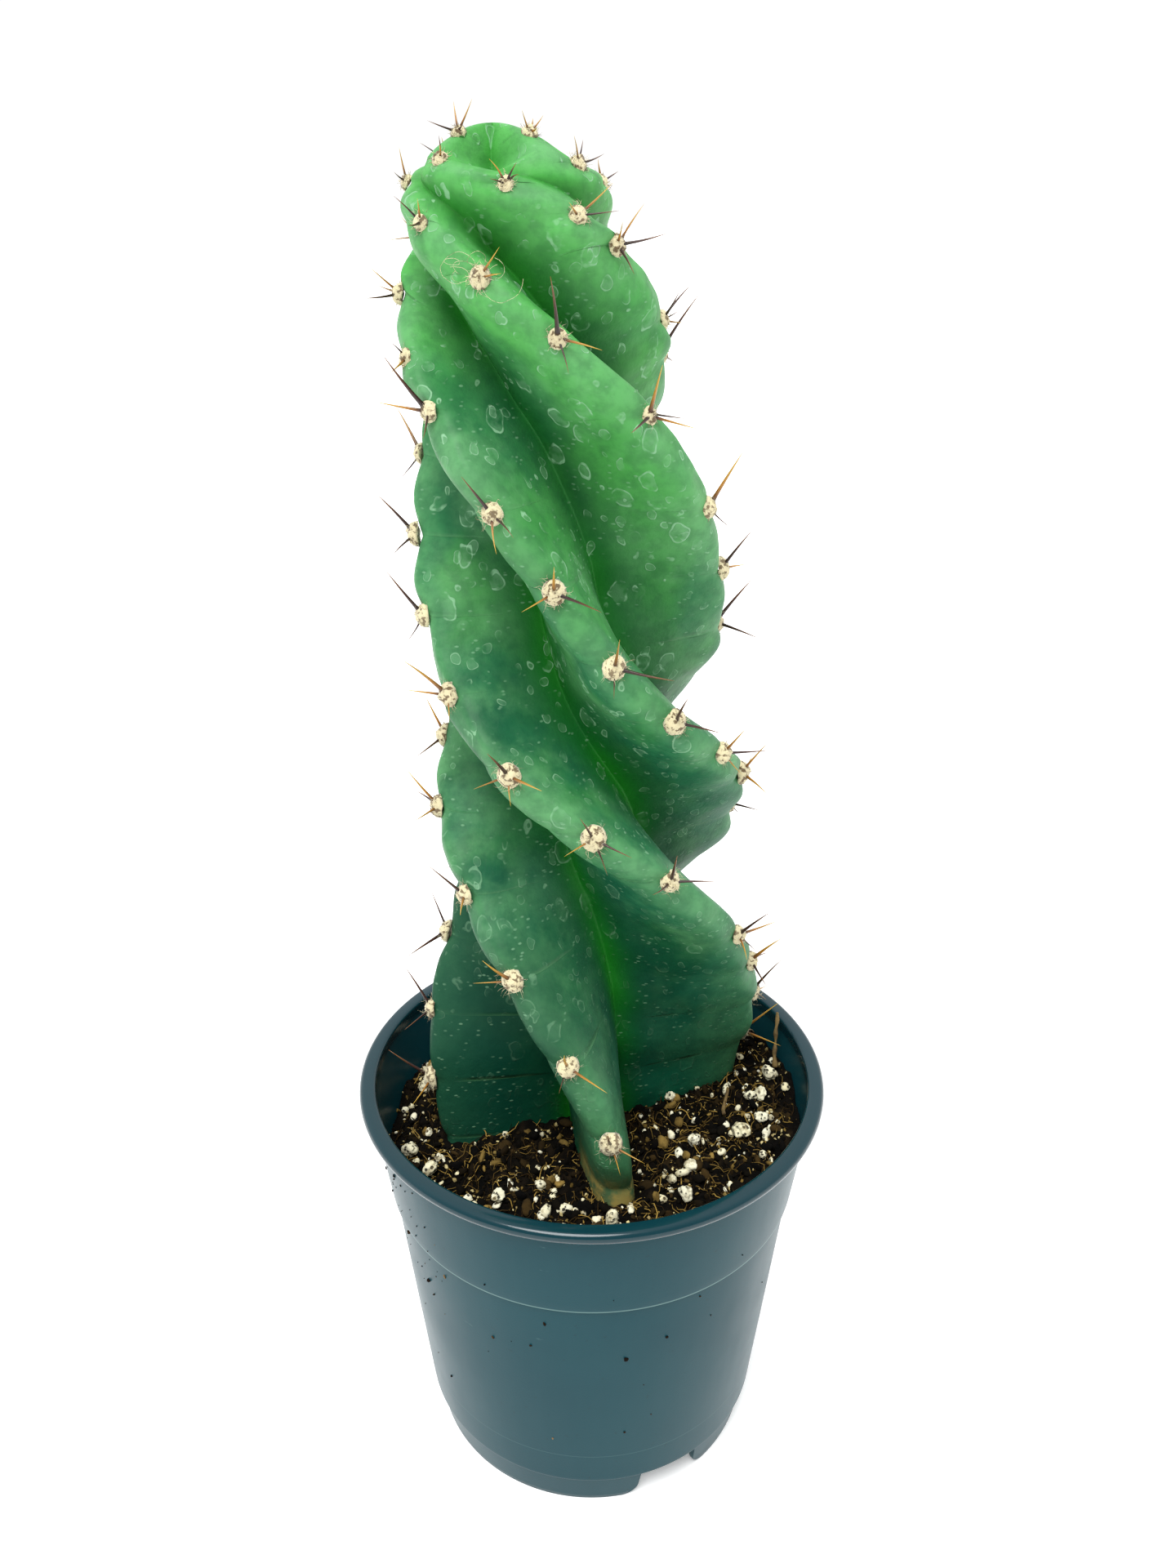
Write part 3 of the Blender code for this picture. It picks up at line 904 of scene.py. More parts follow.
@dataclass(frozen=True)
class SpineHorn:
    """Horny spines: near-black or red-brown at the root, amber towards the point."""

    dark: tuple = ((0.0, (0.08, 0.035, 0.010)), (0.12, (0.014, 0.006, 0.005)),
                   (0.55, (0.050, 0.014, 0.006)), (1.0, (0.24, 0.090, 0.015)))
    amber: tuple = ((0.0, (0.08, 0.030, 0.010)), (0.12, (0.05, 0.014, 0.006)),
                    (0.42, (0.40, 0.17, 0.018)), (1.0, (0.66, 0.42, 0.050)))
    grime: tuple = (0.02, 0.008, 0.005)

    def material(self) -> bpy.types.Material:
        """Builds the horn's nodes.

        Returns:
            The finished material.
        """
        shade = Shade("spine_horn")
        along = shade.carried(Attribute.ALONG)
        tint = shade.carried(Attribute.TINT)
        dark, amber = (shade.node("ShaderNodeValToRGB", {"stops": list(stops)}, {"Fac": along})
                       for stops in (self.dark, self.amber))
        colour = shade.mix(tint.step(0.50, 0.72), dark, amber)
        grain = shade.noise(1.0, 2, shade.stretched((2500.0, 2500.0, 2500.0)))
        colour = shade.mix(0.25 * grain, colour, self.grime)
        return shade.finish({"Base Color": colour, "Roughness": 0.34,
                             "Normal": shade.bump(grain, 0.03 * MM)})


@dataclass(frozen=True)
class DryStem:
    """Dry straw with fine ridges along it."""

    pale: tuple = (0.20, 0.13, 0.040)
    dark: tuple = (0.045, 0.024, 0.008)

    def material(self) -> bpy.types.Material:
        """Builds the straw's nodes.

        Returns:
            The finished material.
        """
        shade = Shade("dry_stem")
        ridge = shade.noise(1.0, 3, shade.stretched((2600.0, 2600.0, 260.0)))
        patch = shade.noise(420, 3).step(0.42, 0.68)
        colour = shade.mix(0.55 * patch + 0.3 * ridge, self.pale, self.dark)
        return shade.finish({"Base Color": colour, "Roughness": 0.8, "Normal": shade.bump(ridge, 0.0002)})


# ------------------------------------------------------------------ the stem's form


@dataclass(frozen=True)
class StemForm:
    """The twisted stem's surface: four rounded fins that turn as they rise."""

    soil_level: float = 0.0889
    length: float = 0.224
    foot_depth: float = 0.027
    foot_rounding: float = 0.014
    tip_rounding: float = 0.0255
    lean_x: tuple = (-0.0003, -0.002, -0.018)
    lean_y: tuple = (0.005, 0.007, 0.0025)
    turn_shares: tuple = (-0.06, 0.147, 0.343, 0.539, 0.70, 0.80, 0.87, 0.92, 0.955, 0.975)
    turn_degrees: tuple = (290, 271, 213, 118, 72, 38, 0, -38, -78, -135)
    rib_offsets: tuple = (-4, -2, -1, 4)
    rib_sways: tuple = (0, 0, -15, 0)
    sway_share: float = 0.30
    sway_spread: float = 0.07
    crest_shares: tuple = (-0.06, 0.08, 0.245, 0.44, 0.637, 0.76, 0.83, 0.90)
    crest_radii: tuple = (0.035, 0.0405, 0.036, 0.034, 0.0315, 0.0297, 0.0263, 0.0228)
    half_width: float = 0.0055
    rounding: float = 4.0
    valley_share: float = 0.64
    cup_depth: float = 0.013
    cup_shares: tuple = (0.66, 0.92)

    def cup(self, share: Array) -> Array:
        """How far the valleys sink below the crests beside them, where the ribs stand up round the tip.

        Args:
            share: Shares of the length above the soil.

        Returns:
            The depth.
        """
        part = np.clip((share - self.cup_shares[0]) / (self.cup_shares[1] - self.cup_shares[0]), 0, 1)
        return self.cup_depth * part**2 * (3 - 2 * part) * self.end_rounding(share)

    def height(self, share: Array) -> Array:
        """Height above the ground."""
        return self.soil_level + self.length * share

    def axis(self, share: Array) -> Array:
        """Middle of the stem: a parabola through three places in x and in y.

        Args:
            share: Shares of the length above the soil.

        Returns:
            Places on the middle line.
        """
        x = np.polyval(np.polyfit((0, 0.5, 1), self.lean_x, 2), share)
        y = np.polyval(np.polyfit((0, 0.5, 1), self.lean_y, 2), share)
        return np.stack([x, y, self.height(share)], -1)

    def bearing(self, rib: Array, share: Array) -> Array:
        """Direction of a crest: the common turn, a quarter for each rib, its offset and its sway.

        Args:
            rib: Number of the rib, or an array of them.
            share: Shares of the length above the soil.

        Returns:
            The direction in radians.
        """
        turn = smooth_curve(self.turn_shares, self.turn_degrees, share)
        away = (share - self.sway_share) / self.sway_spread
        sway = np.asarray(self.rib_sways)[rib] * np.exp(-(away**2))
        return np.radians(turn - rib * 90 + np.asarray(self.rib_offsets)[rib] + sway)

    def end_rounding(self, share: Array) -> Array:
        """Quarter-circle fall to nothing over the rounded tip and foot.

        Args:
            share: Shares of the length above the soil.

        Returns:
            1 along the body, falling to 0 at the ends.
        """
        past_tip = (share * self.length - (self.length - self.tip_rounding)) / self.tip_rounding
        past_foot = (self.foot_rounding - self.foot_depth - share * self.length) / self.foot_rounding
        past = np.clip(np.maximum(past_tip, past_foot), 0, 1)
        return np.sqrt(1 - past**2)

    def crest(self, share: Array) -> Array:
        """Distance of the crests from the middle."""
        return smooth_curve(self.crest_shares, self.crest_radii, share) * self.end_rounding(share)

    def level_half_width(self, share: Array) -> Array:
        """Half a fin's level width: its thickness, drawn out by how far the fin leans.

        Args:
            share: Shares of the length above the soil.

        Returns:
            Half the width.
        """
        step = 0.01
        turned = self.bearing(np.array(0), share + step) - self.bearing(np.array(0), share - step)
        lean = self.crest(share) * turned / (2 * step * self.length)
        return self.half_width * np.sqrt(1 + lean**2) * self.end_rounding(share)

    def crest_point(self, rib: Array, share: Array) -> Array:
        """Places on a rib's crest.

        Args:
            rib: Number of the rib, or an array of them.
            share: Shares of the length above the soil.

        Returns:
            The places.
        """
        turn = self.bearing(rib, share)
        out = np.stack([np.cos(turn), np.sin(turn), np.zeros_like(turn)], -1)
        return self.axis(share) + self.crest(share)[..., None] * out

    def crest_distance(self, rib: int) -> tuple[Array, Array]:
        """Shares up a rib and the distance along its crest from the soil.

        Args:
            rib: Number of the rib, or an array of them.

        Returns:
            The shares and, for each, the distance.
        """
        shares = np.linspace(0, 0.9995, 1200)
        pieces = np.linalg.norm(np.diff(self.crest_point(np.array(rib), shares), axis=0), axis=1)
        return shares, np.concatenate([(0.0,), np.cumsum(pieces)])

    def reach(self, share: Array, off_crest: Array) -> Array:
        """Distance of the surface from the middle.

        A fin's level outline is crest over the fourth root of 1 plus the fourth power of
        the flank's ratio: near the crest it is the crest's arc, and down the flank it
        keeps the fin's half width.

        Args:
            share: Shares of the length.
            off_crest: Angle from the nearest crest, from 0 to a quarter turn's half.

        Returns:
            The distance, in the joint shape of both.
        """
        crest = self.crest(share)
        flank = crest * np.sin(off_crest) / np.maximum(self.level_half_width(share), 1e-6)
        return crest * (1 + flank**self.rounding) ** (-1 / self.rounding)


@dataclass
class AreoleSet:
    """Where the areoles sit: frames on the crests, and the tips of their spines."""

    form: StemForm
    tip_places: tuple = ((0.2490, 0.2745, 0.2842, 0.2978, 0.3122, 0.3205), (0.2723, 0.2880, 0.3020, 0.3160),
                         (0.2495, 0.2650, 0.2800, 0.2950, 0.3100), (0.2670, 0.2790, 0.2930, 0.3061, 0.3180))
    highest: float = 0.3205
    hanging_length: float = 0.66
    standing_length: float = 0.90
    ribs: list = field(default_factory=list)
    shares: list = field(default_factory=list)
    tips: list = field(default_factory=list)

    def read_frame(self) -> None:
        """Takes each areole's rib, height and spine tips from its node."""
        for name in sorted(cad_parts):
            if not name.startswith("areole_"):
                continue
            corners = np.unique(np.round(node_corners(name), 6), axis=0)
            middle = np.median(corners, axis=0)
            far = np.linalg.norm(corners - middle, axis=1) > 0.005
            rib = "abcd".index(name[7])
            shares, _ = self.form.crest_distance(rib)
            crest = self.form.crest_point(np.array(rib), shares)
            pad = corners[~far].mean(axis=0)
            spines = corners[far] - pad
            length = np.where(spines[:, 2:] < -0.002, self.hanging_length, self.standing_length)
            self.ribs.append(rib)
            self.shares.append(shares[np.argmin(np.linalg.norm(crest - pad, axis=1))])
            self.tips.append(pad + spines * length)

    def add_tip(self, rng: np.random.Generator) -> None:
        """Adds the small areoles of the young tip, with short spines.

        Args:
            rng: Source of the draws.
        """
        for rib, places in enumerate(self.tip_places):
            shares, distance = self.form.crest_distance(rib)
            for share in np.interp(places, distance, shares):
                origin, side, up, out = self.frames(np.array([rib]), np.array([share]))
                count = rng.integers(2, 5)
                turn = np.radians(np.array([60, -15, 150, 240])[:count] + rng.uniform(-28, 28, count))
                lift = np.radians(rng.uniform(30, 60, count))
                size = rng.uniform(0.0040, 0.0082, count) * (1.15 - 0.4 * (share > 0.95))
                flat = np.cos(turn)[:, None] * side + np.sin(turn)[:, None] * up
                way = np.cos(lift)[:, None] * flat + np.sin(lift)[:, None] * out
                tips = origin + way * size[:, None]
                tips[:, 2] = np.minimum(tips[:, 2], self.highest)
                self.ribs.append(rib)
                self.shares.append(float(share))
                self.tips.append(tips)

    def frames(self, ribs: Array, shares: Array) -> tuple[Array, Array, Array, Array]:
        """Origin and axes of areoles.

        Args:
            ribs: Rib of each areole.
            shares: Share of each areole.

        Returns:
            Origins, then unit vectors to the side, up and out of the crest.
        """
        step = 0.003
        origin = self.form.crest_point(ribs, shares)
        along = unit(self.form.crest_point(ribs, np.minimum(shares + step, 0.9999))
                     - self.form.crest_point(ribs, shares - step))
        fall = (self.form.crest(np.minimum(shares + step, 1.0)) - self.form.crest(shares - step))
        fall = fall / (2 * step * self.form.length)
        turn = self.form.bearing(ribs, shares)
        out = np.stack([np.cos(turn), np.sin(turn), -np.clip(fall, -4, 4)], -1)
        out = unit(out - (out * along).sum(-1, keepdims=True) * along)
        up = unit(np.array((0.0, 0.0, 1.0)) - out[:, 2:3] * out + 1e-6)
        return origin, np.cross(up, out), up, out

    def rib_shares(self, rib: int) -> Array:
        """Shares of one rib's areoles, rising."""
        return np.sort([share for own, share in zip(self.ribs, self.shares) if own == rib])


# ------------------------------------------------------------------ sub-assemblies


@dataclass
class SpiralStem:
    """The stem's fine surface."""

    form: StemForm
    areoles: AreoleSet
    columns_per_rib: int = 60
    body_rings: int = 300
    tip_rings: int = 56
    foot_rings: int = 10
    notch: float = 0.0014
    ripple: float = 0.00035
    unevenness: float = 0.0005
    fine_unevenness: float = 0.00012
    notch_spread: float = 0.34

    def shares(self) -> Array:
        """Shares of the rings, closer together where the ends round off.

        Returns:
            The rising shares.
        """
        foot = -self.form.foot_depth / self.form.length
        foot_size = self.form.foot_rounding / self.form.length
        tip_size = self.form.tip_rounding / self.form.length
        foot_turn = np.linspace(0.02, np.pi / 2, self.foot_rings, endpoint=False)
        tip_turn = np.linspace(0, np.pi / 2 - 0.02, self.tip_rings)
        return np.concatenate([foot + foot_size * (1 - np.cos(foot_turn)),
                               np.linspace(foot + foot_size, 1 - tip_size, self.body_rings, endpoint=False),
                               1 - tip_size * (1 - np.sin(tip_turn))])

    def phases(self, share: Array) -> Array:
        """For each rib, how far the crest has come from one areole to the next, from 0 to 1.

        Args:
            share: Shares of the length above the soil.

        Returns:
            A column for each rib.
        """
        table = []
        for rib in range(4):
            own = self.areoles.rib_shares(rib)
            stations = np.concatenate([(own[0] - 0.14, own[0] - 0.07), own, (own[-1] + 0.03,)])
            table.append(np.interp(share, stations, np.arange(len(stations))) % 1)
        return np.stack(table, -1)

    def build(self) -> bpy.types.Object:
        """Works out the surface on a grid of shares by steps round the four ribs.

        The reach is the form's, less a notch at each areole that fades down the flank,
        plus slow unevenness.

        Returns:
            The stem.
        """
        share = self.shares()
        around = np.arange(4 * self.columns_per_rib) / self.columns_per_rib
        rib = np.floor(around).astype(int)
        step = around - rib
        bearings = np.stack([self.form.bearing(np.array(k), share) for k in range(4)], -1)
        gap = (bearings[:, rib] - bearings[:, (rib + 1) % 4]) % (2 * np.pi)
        turn = bearings[:, rib] - step * gap
        skew = self.form.valley_share
        valley = np.minimum(step / skew, (1 - step) / (1 - skew))
        reach = self.form.reach(share[:, None], valley[None] * np.pi / 4)
        nearest = (rib + (step > skew)) % 4
        crest = np.maximum(self.form.crest(share), 1e-6)[:, None]
        sink = self.form.cup(share)[:, None] * (1 - reach / crest)
        phase = self.phases(share)[:, nearest]
        ends = self.form.end_rounding(share)[:, None]
        swell = np.sin(np.pi * phase) ** 0.7 - 0.62
        reach = reach + self.notch * swell * np.exp(-(valley / self.notch_spread) ** 2) * ends
        ripple = np.cos(2 * np.pi * (phase + 0.25 * valley)) * np.sin(np.pi * np.clip(valley * 1.1, 0, 1))
        reach = reach - self.ripple * ripple * ends
        way = np.stack([np.cos(turn), np.sin(turn), np.zeros_like(turn)], -1)
        points = self.form.axis(share)[:, None] + reach[..., None] * way
        points[..., 2] -= sink
        lift = waves(points, 0.022, 14, 4) * self.unevenness
        lift = lift + waves(points, 0.009, 14, 5) * self.fine_unevenness
        points = points + lift[..., None] * way * ends[..., None]
        rows, columns = phase.shape
        foot = self.form.axis(np.array(-self.form.foot_depth / self.form.length))
        tip = self.form.axis(np.array(1.0))
        body = np.concatenate([points.reshape(-1, 3), [foot, tip]])
        full = np.broadcast_to
        values = {Attribute.VALLEY: np.append(full(valley, phase.shape), (0.5, 0.5)),
                  Attribute.SHARE: np.append(full(share[:, None], phase.shape), (0.0, 1.0)),
                  Attribute.PHASE: np.append(phase, (0.5, 0.5))}
        piece = make_piece("spiral_stem", body, closed_grid(rows, columns, turned=True),
                           WaxySkin().material(), values)
        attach(piece, "root")
        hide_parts("cactus_stem")
        return piece


@dataclass
class AreoleDress:
    """Wool pads, loose wool and spines of every areole."""

    areoles: AreoleSet
    pad_radius: float = 0.00245
    pad_height: float = 0.0019
    pad_rows: int = 8
    pad_columns: int = 16
    fibres_each: int = 46
    fibre_steps: int = 5
    fibre_sides: int = 3
    fibre_radius: float = 0.00006
    spine_sides: int = 7
    spine_steps: int = 9
    spine_radius: float = 0.00042
    curl_rib: int = 1
    curl_place: float = 0.2723
    curl_count: int = 8
    curl_steps: int = 26
    curl_radius: float = 0.00003
    seed: int = 21
    curl_seed: int = 5

    def build(self) -> list[bpy.types.Object]:
        """Builds the four pieces.

        Returns:
            The pads, the wool, the spines and the curled hairs.
        """
        rng = np.random.default_rng(self.seed)
        ribs = np.array(self.areoles.ribs)
        shares = np.array(self.areoles.shares)
        axes = self.areoles.frames(ribs, shares)
        size = np.interp(shares, (0, 0.6, 0.85, 1.0), (1.05, 1.0, 0.78, 0.6))
        size = size * rng.uniform(0.88, 1.12, len(shares))
        wool = AreoleWool().material()
        pieces = [self._pads(axes, size, wool, rng), self._fibres(axes, size, wool, rng),
                  self._spines(axes, rng), self._curls(wool)]
        nodes = sorted(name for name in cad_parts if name.startswith("areole_"))
        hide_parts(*nodes)
        for piece in pieces:
            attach(piece, "root")
        return pieces

    def _pads(self, axes: tuple, size: Array, wool: bpy.types.Material,
              rng: np.random.Generator) -> bpy.types.Object:
        """Lumpy domes: height falls as the cosine of the way out, with waves over it.

        Args:
            axes: The areoles' origins and their unit vectors to the side, up and out.
            size: Each areole's size, about 1.
            wool: The wool's finish.
            rng: Source of the draws.

        Returns:
            The pads as one piece.
        """
        origin, side, up, out = axes
        turn = np.arange(self.pad_columns) * 2 * np.pi / self.pad_columns
        rise = np.linspace(1, 0.06, self.pad_rows)
        flat = np.sin(rise * np.pi / 2)[:, None]
        x = (flat * np.cos(turn)).reshape(-1)
        y = (flat * np.sin(turn)).reshape(-1)
        z = np.repeat(np.cos(rise * np.pi / 2) * 1.25 - 0.25, self.pad_columns)
        x, y, z = np.append(x, (0, 0)), np.append(y, (0, 0)), np.append(z, (-0.25, 1.0))
        width = self.pad_radius * size[:, None, None]
        high = self.pad_height * size[:, None, None]
        points = (origin[:, None] + x[:, None] * side[:, None] * width
                  + y[:, None] * up[:, None] * width * 1.1 + z[:, None] * out[:, None] * high)
        bump = waves(points, 0.0016, 10, 8) * 0.00022 + waves(points, 0.0007, 10, 9) * 0.00010
        points = points + bump[..., None] * out[:, None]
        corners = self.pad_rows * self.pad_columns + 2
        faces = repeated(closed_grid(self.pad_rows, self.pad_columns), len(size), corners)
        tint = np.repeat(rng.uniform(0, 1, len(size)), corners)
        return make_piece("areole_pads", points, faces, wool, {Attribute.TINT: tint})

    def _fibres(self, axes: tuple, size: Array, wool: bpy.types.Material,
                rng: np.random.Generator) -> bpy.types.Object:
        """Loose curled wool: each fibre leaves the pad outwards and bends over in a wave.

        Args:
            axes: The areoles' origins and their unit vectors to the side, up and out.
            size: Each areole's size, about 1.
            wool: The wool's finish.
            rng: Source of the draws.

        Returns:
            The fibres as one piece.
        """
        count = len(size) * self.fibres_each
        origin, side, up, out = (np.repeat(part, self.fibres_each, axis=0) for part in axes)
        scale = np.repeat(size, self.fibres_each)[:, None]
        turn = rng.uniform(0, 2 * np.pi, (count, 1))
        far = np.sqrt(rng.uniform(0, 1, (count, 1)))
        flat = np.cos(turn) * side + np.sin(turn) * up
        root = origin + scale * (far * self.pad_radius * 0.95 * flat
                                 + np.cos(far * 1.5) * self.pad_height * 0.8 * out)
        way = unit(out * rng.uniform(0.15, 1.0, (count, 1)) + flat * (far + 0.2)
                   + 0.5 * rng.normal(size=(count, 3)))
        length = scale * rng.uniform(0.0008, 0.0024, (count, 1))
        bend = unit(np.cross(way, rng.normal(size=(count, 3))))
        t = np.linspace(0, 1, self.fibre_steps)[None, :, None]
        curl = np.sin(t * rng.uniform(1.5, 5.0, (count, 1, 1))) * rng.uniform(0.15, 0.55, (count, 1, 1))
        paths = root[:, None] + length[:, None] * (way[:, None] * t + bend[:, None] * curl)
        radii = self.fibre_radius * (1.15 - t[..., 0]) * np.ones((count, 1))
        points, faces = tubes(paths, radii, self.fibre_sides)
        tint = np.repeat(rng.uniform(0, 1, count), self.fibre_steps * self.fibre_sides + 2)
        return make_piece("areole_wool_fibres", points, faces, wool, {Attribute.TINT: tint})

    def _curls(self, wool: bpy.types.Material) -> bpy.types.Object:
        """Long hairs that curl beside one areole near the tip.

        Each hair's direction turns in its own tilted plane at its own steady rate, and its
        path is the running sum of those directions.

        Args:
            wool: The wool's finish.

        Returns:
            The hairs as one piece.
        """
        rng = np.random.default_rng(self.curl_seed)
        shares, distance = self.areoles.form.crest_distance(self.curl_rib)
        share = np.interp(self.curl_place, distance, shares)
        origin, side, up, out = self.areoles.frames(np.array([self.curl_rib]), np.array([share]))
        count, steps = self.curl_count, self.curl_steps
        root = origin + 0.0018 * out + side * rng.uniform(-0.004, 0.006, (count, 1))
        root = root + up * rng.uniform(0, 0.002, (count, 1))
        turn = rng.uniform(0, 2 * np.pi, (count, 1))
        turn = turn + np.cumsum(rng.normal(0.20, 0.14, (count, steps)), axis=1)
        tilt = rng.uniform(0.1, 0.6, (count, 1, 1))
        way = np.cos(turn)[..., None] * side + np.sin(turn)[..., None] * (up * (1 - tilt) + out * tilt)
        stride = rng.uniform(0.0003, 0.0006, (count, 1, 1))
        rise = out * np.linspace(0, 0.0015, steps)[None, :, None]
        paths = root[:, None] + np.cumsum(way * stride, axis=1) + rise
        points, faces = tubes(paths, np.full((count, steps), self.curl_radius), self.fibre_sides)
        return make_piece("curled_hairs", points, faces, wool, {Attribute.TINT: np.zeros(len(points))})

    def _spines(self, axes: tuple, rng: np.random.Generator) -> bpy.types.Object:
        """Spines from each pad to its tips: thin tapered rods on a swollen root, bent a little.

        Args:
            axes: The areoles' origins and their unit vectors to the side, up and out.
            rng: Source of the draws.

        Returns:
            The spines as one piece.
        """
        origin, _, _, out = axes
        owner = np.concatenate([np.full(len(tips), i) for i, tips in enumerate(self.areoles.tips)])
        tip = np.concatenate(self.areoles.tips)
        root = origin[owner] + 0.0006 * out[owner]
        lean = unit(tip - root)
        root = root + 0.0007 * (lean - (lean * out[owner]).sum(-1, keepdims=True) * out[owner])
        t = np.linspace(0, 1, self.spine_steps) ** 1.2
        bend = unit(np.cross(lean, rng.normal(size=lean.shape))) * rng.uniform(0, 0.0003, (len(tip), 1))
        paths = root[:, None] + (tip - root)[:, None] * t[None, :, None]
        paths = paths + bend[:, None] * np.sin(np.pi * t)[None, :, None]
        length = np.linalg.norm(tip - root, axis=1)
        thick = self.spine_radius * np.clip(length / 0.011, 0.55, 1.1) * rng.uniform(0.85, 1.1, len(tip))
        profile = np.clip(1.0 - t, 0.03, 1) ** 0.8 + 0.45 * np.exp(-((t / 0.07) ** 2))
        points, faces = tubes(paths, thick[:, None] * profile[None], self.spine_sides)
        corners = self.spine_steps * self.spine_sides + 2
        values = {Attribute.ALONG: along_values(len(tip), self.spine_steps, self.spine_sides),
                  Attribute.TINT: np.repeat(rng.uniform(0, 1, len(tip)), corners)}
        return make_piece("spines", points, faces, SpineHorn().material(), values)


@dataclass
class NurseryPot:
    """The pot: one turned skin with a rolled rim, a stepped band and a notched foot ring."""

    rim_radius: float = 0.057
    rim_height: float = 0.1042
    bead_height: float = 0.003
    lip_width: float = 0.004
    band_inset: float = 0.0026
    band_taper: float = 0.131
    band_height: float = 0.0259
    step_ledge: float = 0.0007
    wall_taper: float = 0.100
    wall: float = 0.0012
    foot_height: float = 0.0102
    foot_ledge: float = 0.0006
    foot_taper: float = 0.180
    foot_wall: float = 0.0016
    notch_half: float = 0.008
    notch_corner: float = 0.0045
    notch_headroom: float = 0.0006
    notch_bearing: float = math.radians(-62.5)
    drain_count: int = 6
    drain_radius: float = 0.004
    drain_circle: float = 0.026
    edge_round: float = 0.0003
    lip_round: float = 0.0008
    floor_round: float = 0.0006
    crease_degrees: float = 42.0
    columns: int = 384

    @property
    def step_height(self) -> float:
        """Height of the ledge where the band ends."""
        return self.rim_height - self.bead_height - self.band_height

    def band(self, height: Array) -> Array:
        """Outside radius of the band."""
        below = self.rim_height - self.bead_height - height
        return self.rim_radius - self.band_inset - self.band_taper * below

    def wall_outside(self, height: Array) -> Array:
        """Outside radius of the wall below the band."""
        return self.band(self.step_height) - self.step_ledge - self.wall_taper * (self.step_height - height)

    def foot(self, height: Array) -> Array:
        """Outside radius of the foot ring."""
        top = self.wall_outside(self.foot_height) - self.foot_ledge
        return top - self.foot_taper * (self.foot_height - height)

    def inside(self, height: Array) -> Array:
        """Inside radius above the floor, easing from wall to band over the step.

        Args:
            height: Heights above the ground.

        Returns:
            The radius.
        """
        ease = np.clip((height - self.step_height) / 0.0012, 0, 1)
        low = self.wall_outside(height)
        return low + ease * (self.band(height) - low) - self.wall

    def foot_edge(self, turn: Array) -> Array:
        """Height of the foot ring's lower edge round the pot.

        It is 0 on the ground, rises round each corner as a quarter circle and runs level
        across the top of each notch.

        Args:
            turn: Bearings round the pot.

        Returns:
            The heights.
        """
        spread = 2 * np.pi / 3
        off = np.abs((turn - self.notch_bearing + spread / 2) % spread - spread / 2) * self.foot(0.0)
        into = np.clip((self.notch_half + self.notch_corner - off) / self.notch_corner, 0, 1)
        corner = self.notch_corner * (1 - np.sqrt(np.clip(1 - into**2, 0, 1)))
        top = self.foot_height - self.foot_ledge - self.notch_headroom
        side = np.clip((self.notch_half - off) / 0.0004, 0, 1)
        raised = self.notch_corner + (top - self.notch_corner) * side
        return np.maximum(corner, 0) * (side <= 0) + raised * (side > 0)

    def turns(self) -> Array:
        """Bearings of the columns: even ones, and close pairs at the notches' sides.

        Returns:
            The rising bearings.
        """
        even = np.arange(self.columns) * 2 * np.pi / self.columns
        centres = self.notch_bearing + np.arange(3) * 2 * np.pi / 3
        offs = np.concatenate([self.notch_half + np.linspace(-0.0006, 0.0001, 6),
                               self.notch_half + self.notch_corner * np.linspace(0.04, 1, 9)])
        offs = offs / self.foot(0.0)
        close = (centres[:, None] + np.concatenate([offs, -offs])[None]).reshape(-1) % (2 * np.pi)
        return np.unique(np.round(np.concatenate([even, close]), 6))

    def build(self) -> bpy.types.Object:
        """Turns the outline round the axis, with its lowest rows at the notched edge, and drills it.

        Returns:
            The pot.
        """
        turn = self.turns()
        edge = self.foot_edge(turn)
        radius, height = self._rows(edge)
        points = np.stack([radius * np.cos(turn), radius * np.sin(turn), height], -1)
        rows, columns = radius.shape
        poles = np.array([(0, 0, self.foot_height), (0, 0, self.foot_height + self.wall)])
        body = np.concatenate([points.reshape(-1, 3), poles])
        piece = make_piece("nursery_pot", body, closed_grid(rows, columns), PotPlastic().material())
        self._drill(piece)
        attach(piece, "root")
        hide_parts("pot")
        return piece

    def _rows(self, edge: Array) -> tuple[Array, Array]:
        """Radius and height of each row, from the floor's underside out, up and in again.

        Args:
            edge: Height of the foot ring's lower edge at each bearing.

        Returns:
            The radii and the heights, a row for each step of the outline.
        """
        floor, ledge, small = self.foot_height, self.foot_ledge, self.edge_round
        inner_foot = self.foot(floor) - self.foot_wall
        rows: list[tuple[Array, Array]] = [(part * inner_foot, floor) for part in np.linspace(0.02, 1, 14)]
        for part in np.linspace(0.12, 1, 6):
            height = floor + (edge + small - floor) * part
            rows.append((self.foot(height) - self.foot_wall, height))
        rows.append((self.foot(edge) - self.foot_wall + small, edge))
        rows.append((self.foot(edge) - small, edge))
        for part in np.linspace(0, 1, 8):
            height = edge + small + (floor - ledge - edge - small) * part
            rows.append((self.foot(height), height))
        for part in (0.25, 0.5, 0.75, 1.0):
            turn = part * np.pi / 2
            rows.append((self.foot(floor) + ledge * np.sin(turn),
                         floor - ledge + ledge * (1 - np.cos(turn))))
        for height in np.linspace(floor + 0.0008, self.step_height - 0.0002, 26):
            rows.append((self.wall_outside(height), height))
        for part in (0.0, 0.33, 0.66, 1.0):
            rows.append((self.wall_outside(self.step_height) + part * self.step_ledge,
                         self.step_height + small * part**2))
        band_top = self.rim_height - self.bead_height
        for height in np.linspace(self.step_height + 0.0008, band_top - 0.0002, 12):
            rows.append((self.band(height), height))
        bead = self.bead_height / 2
        for angle in np.radians(np.linspace(-100, 80, 15)):
            rows.append((self.rim_radius - bead + bead * np.cos(angle),
                         band_top + bead + bead * np.sin(angle)))
        lip, rolled = self.rim_radius - self.lip_width, self.lip_round
        for angle in np.radians(np.linspace(90, 180, 6)):
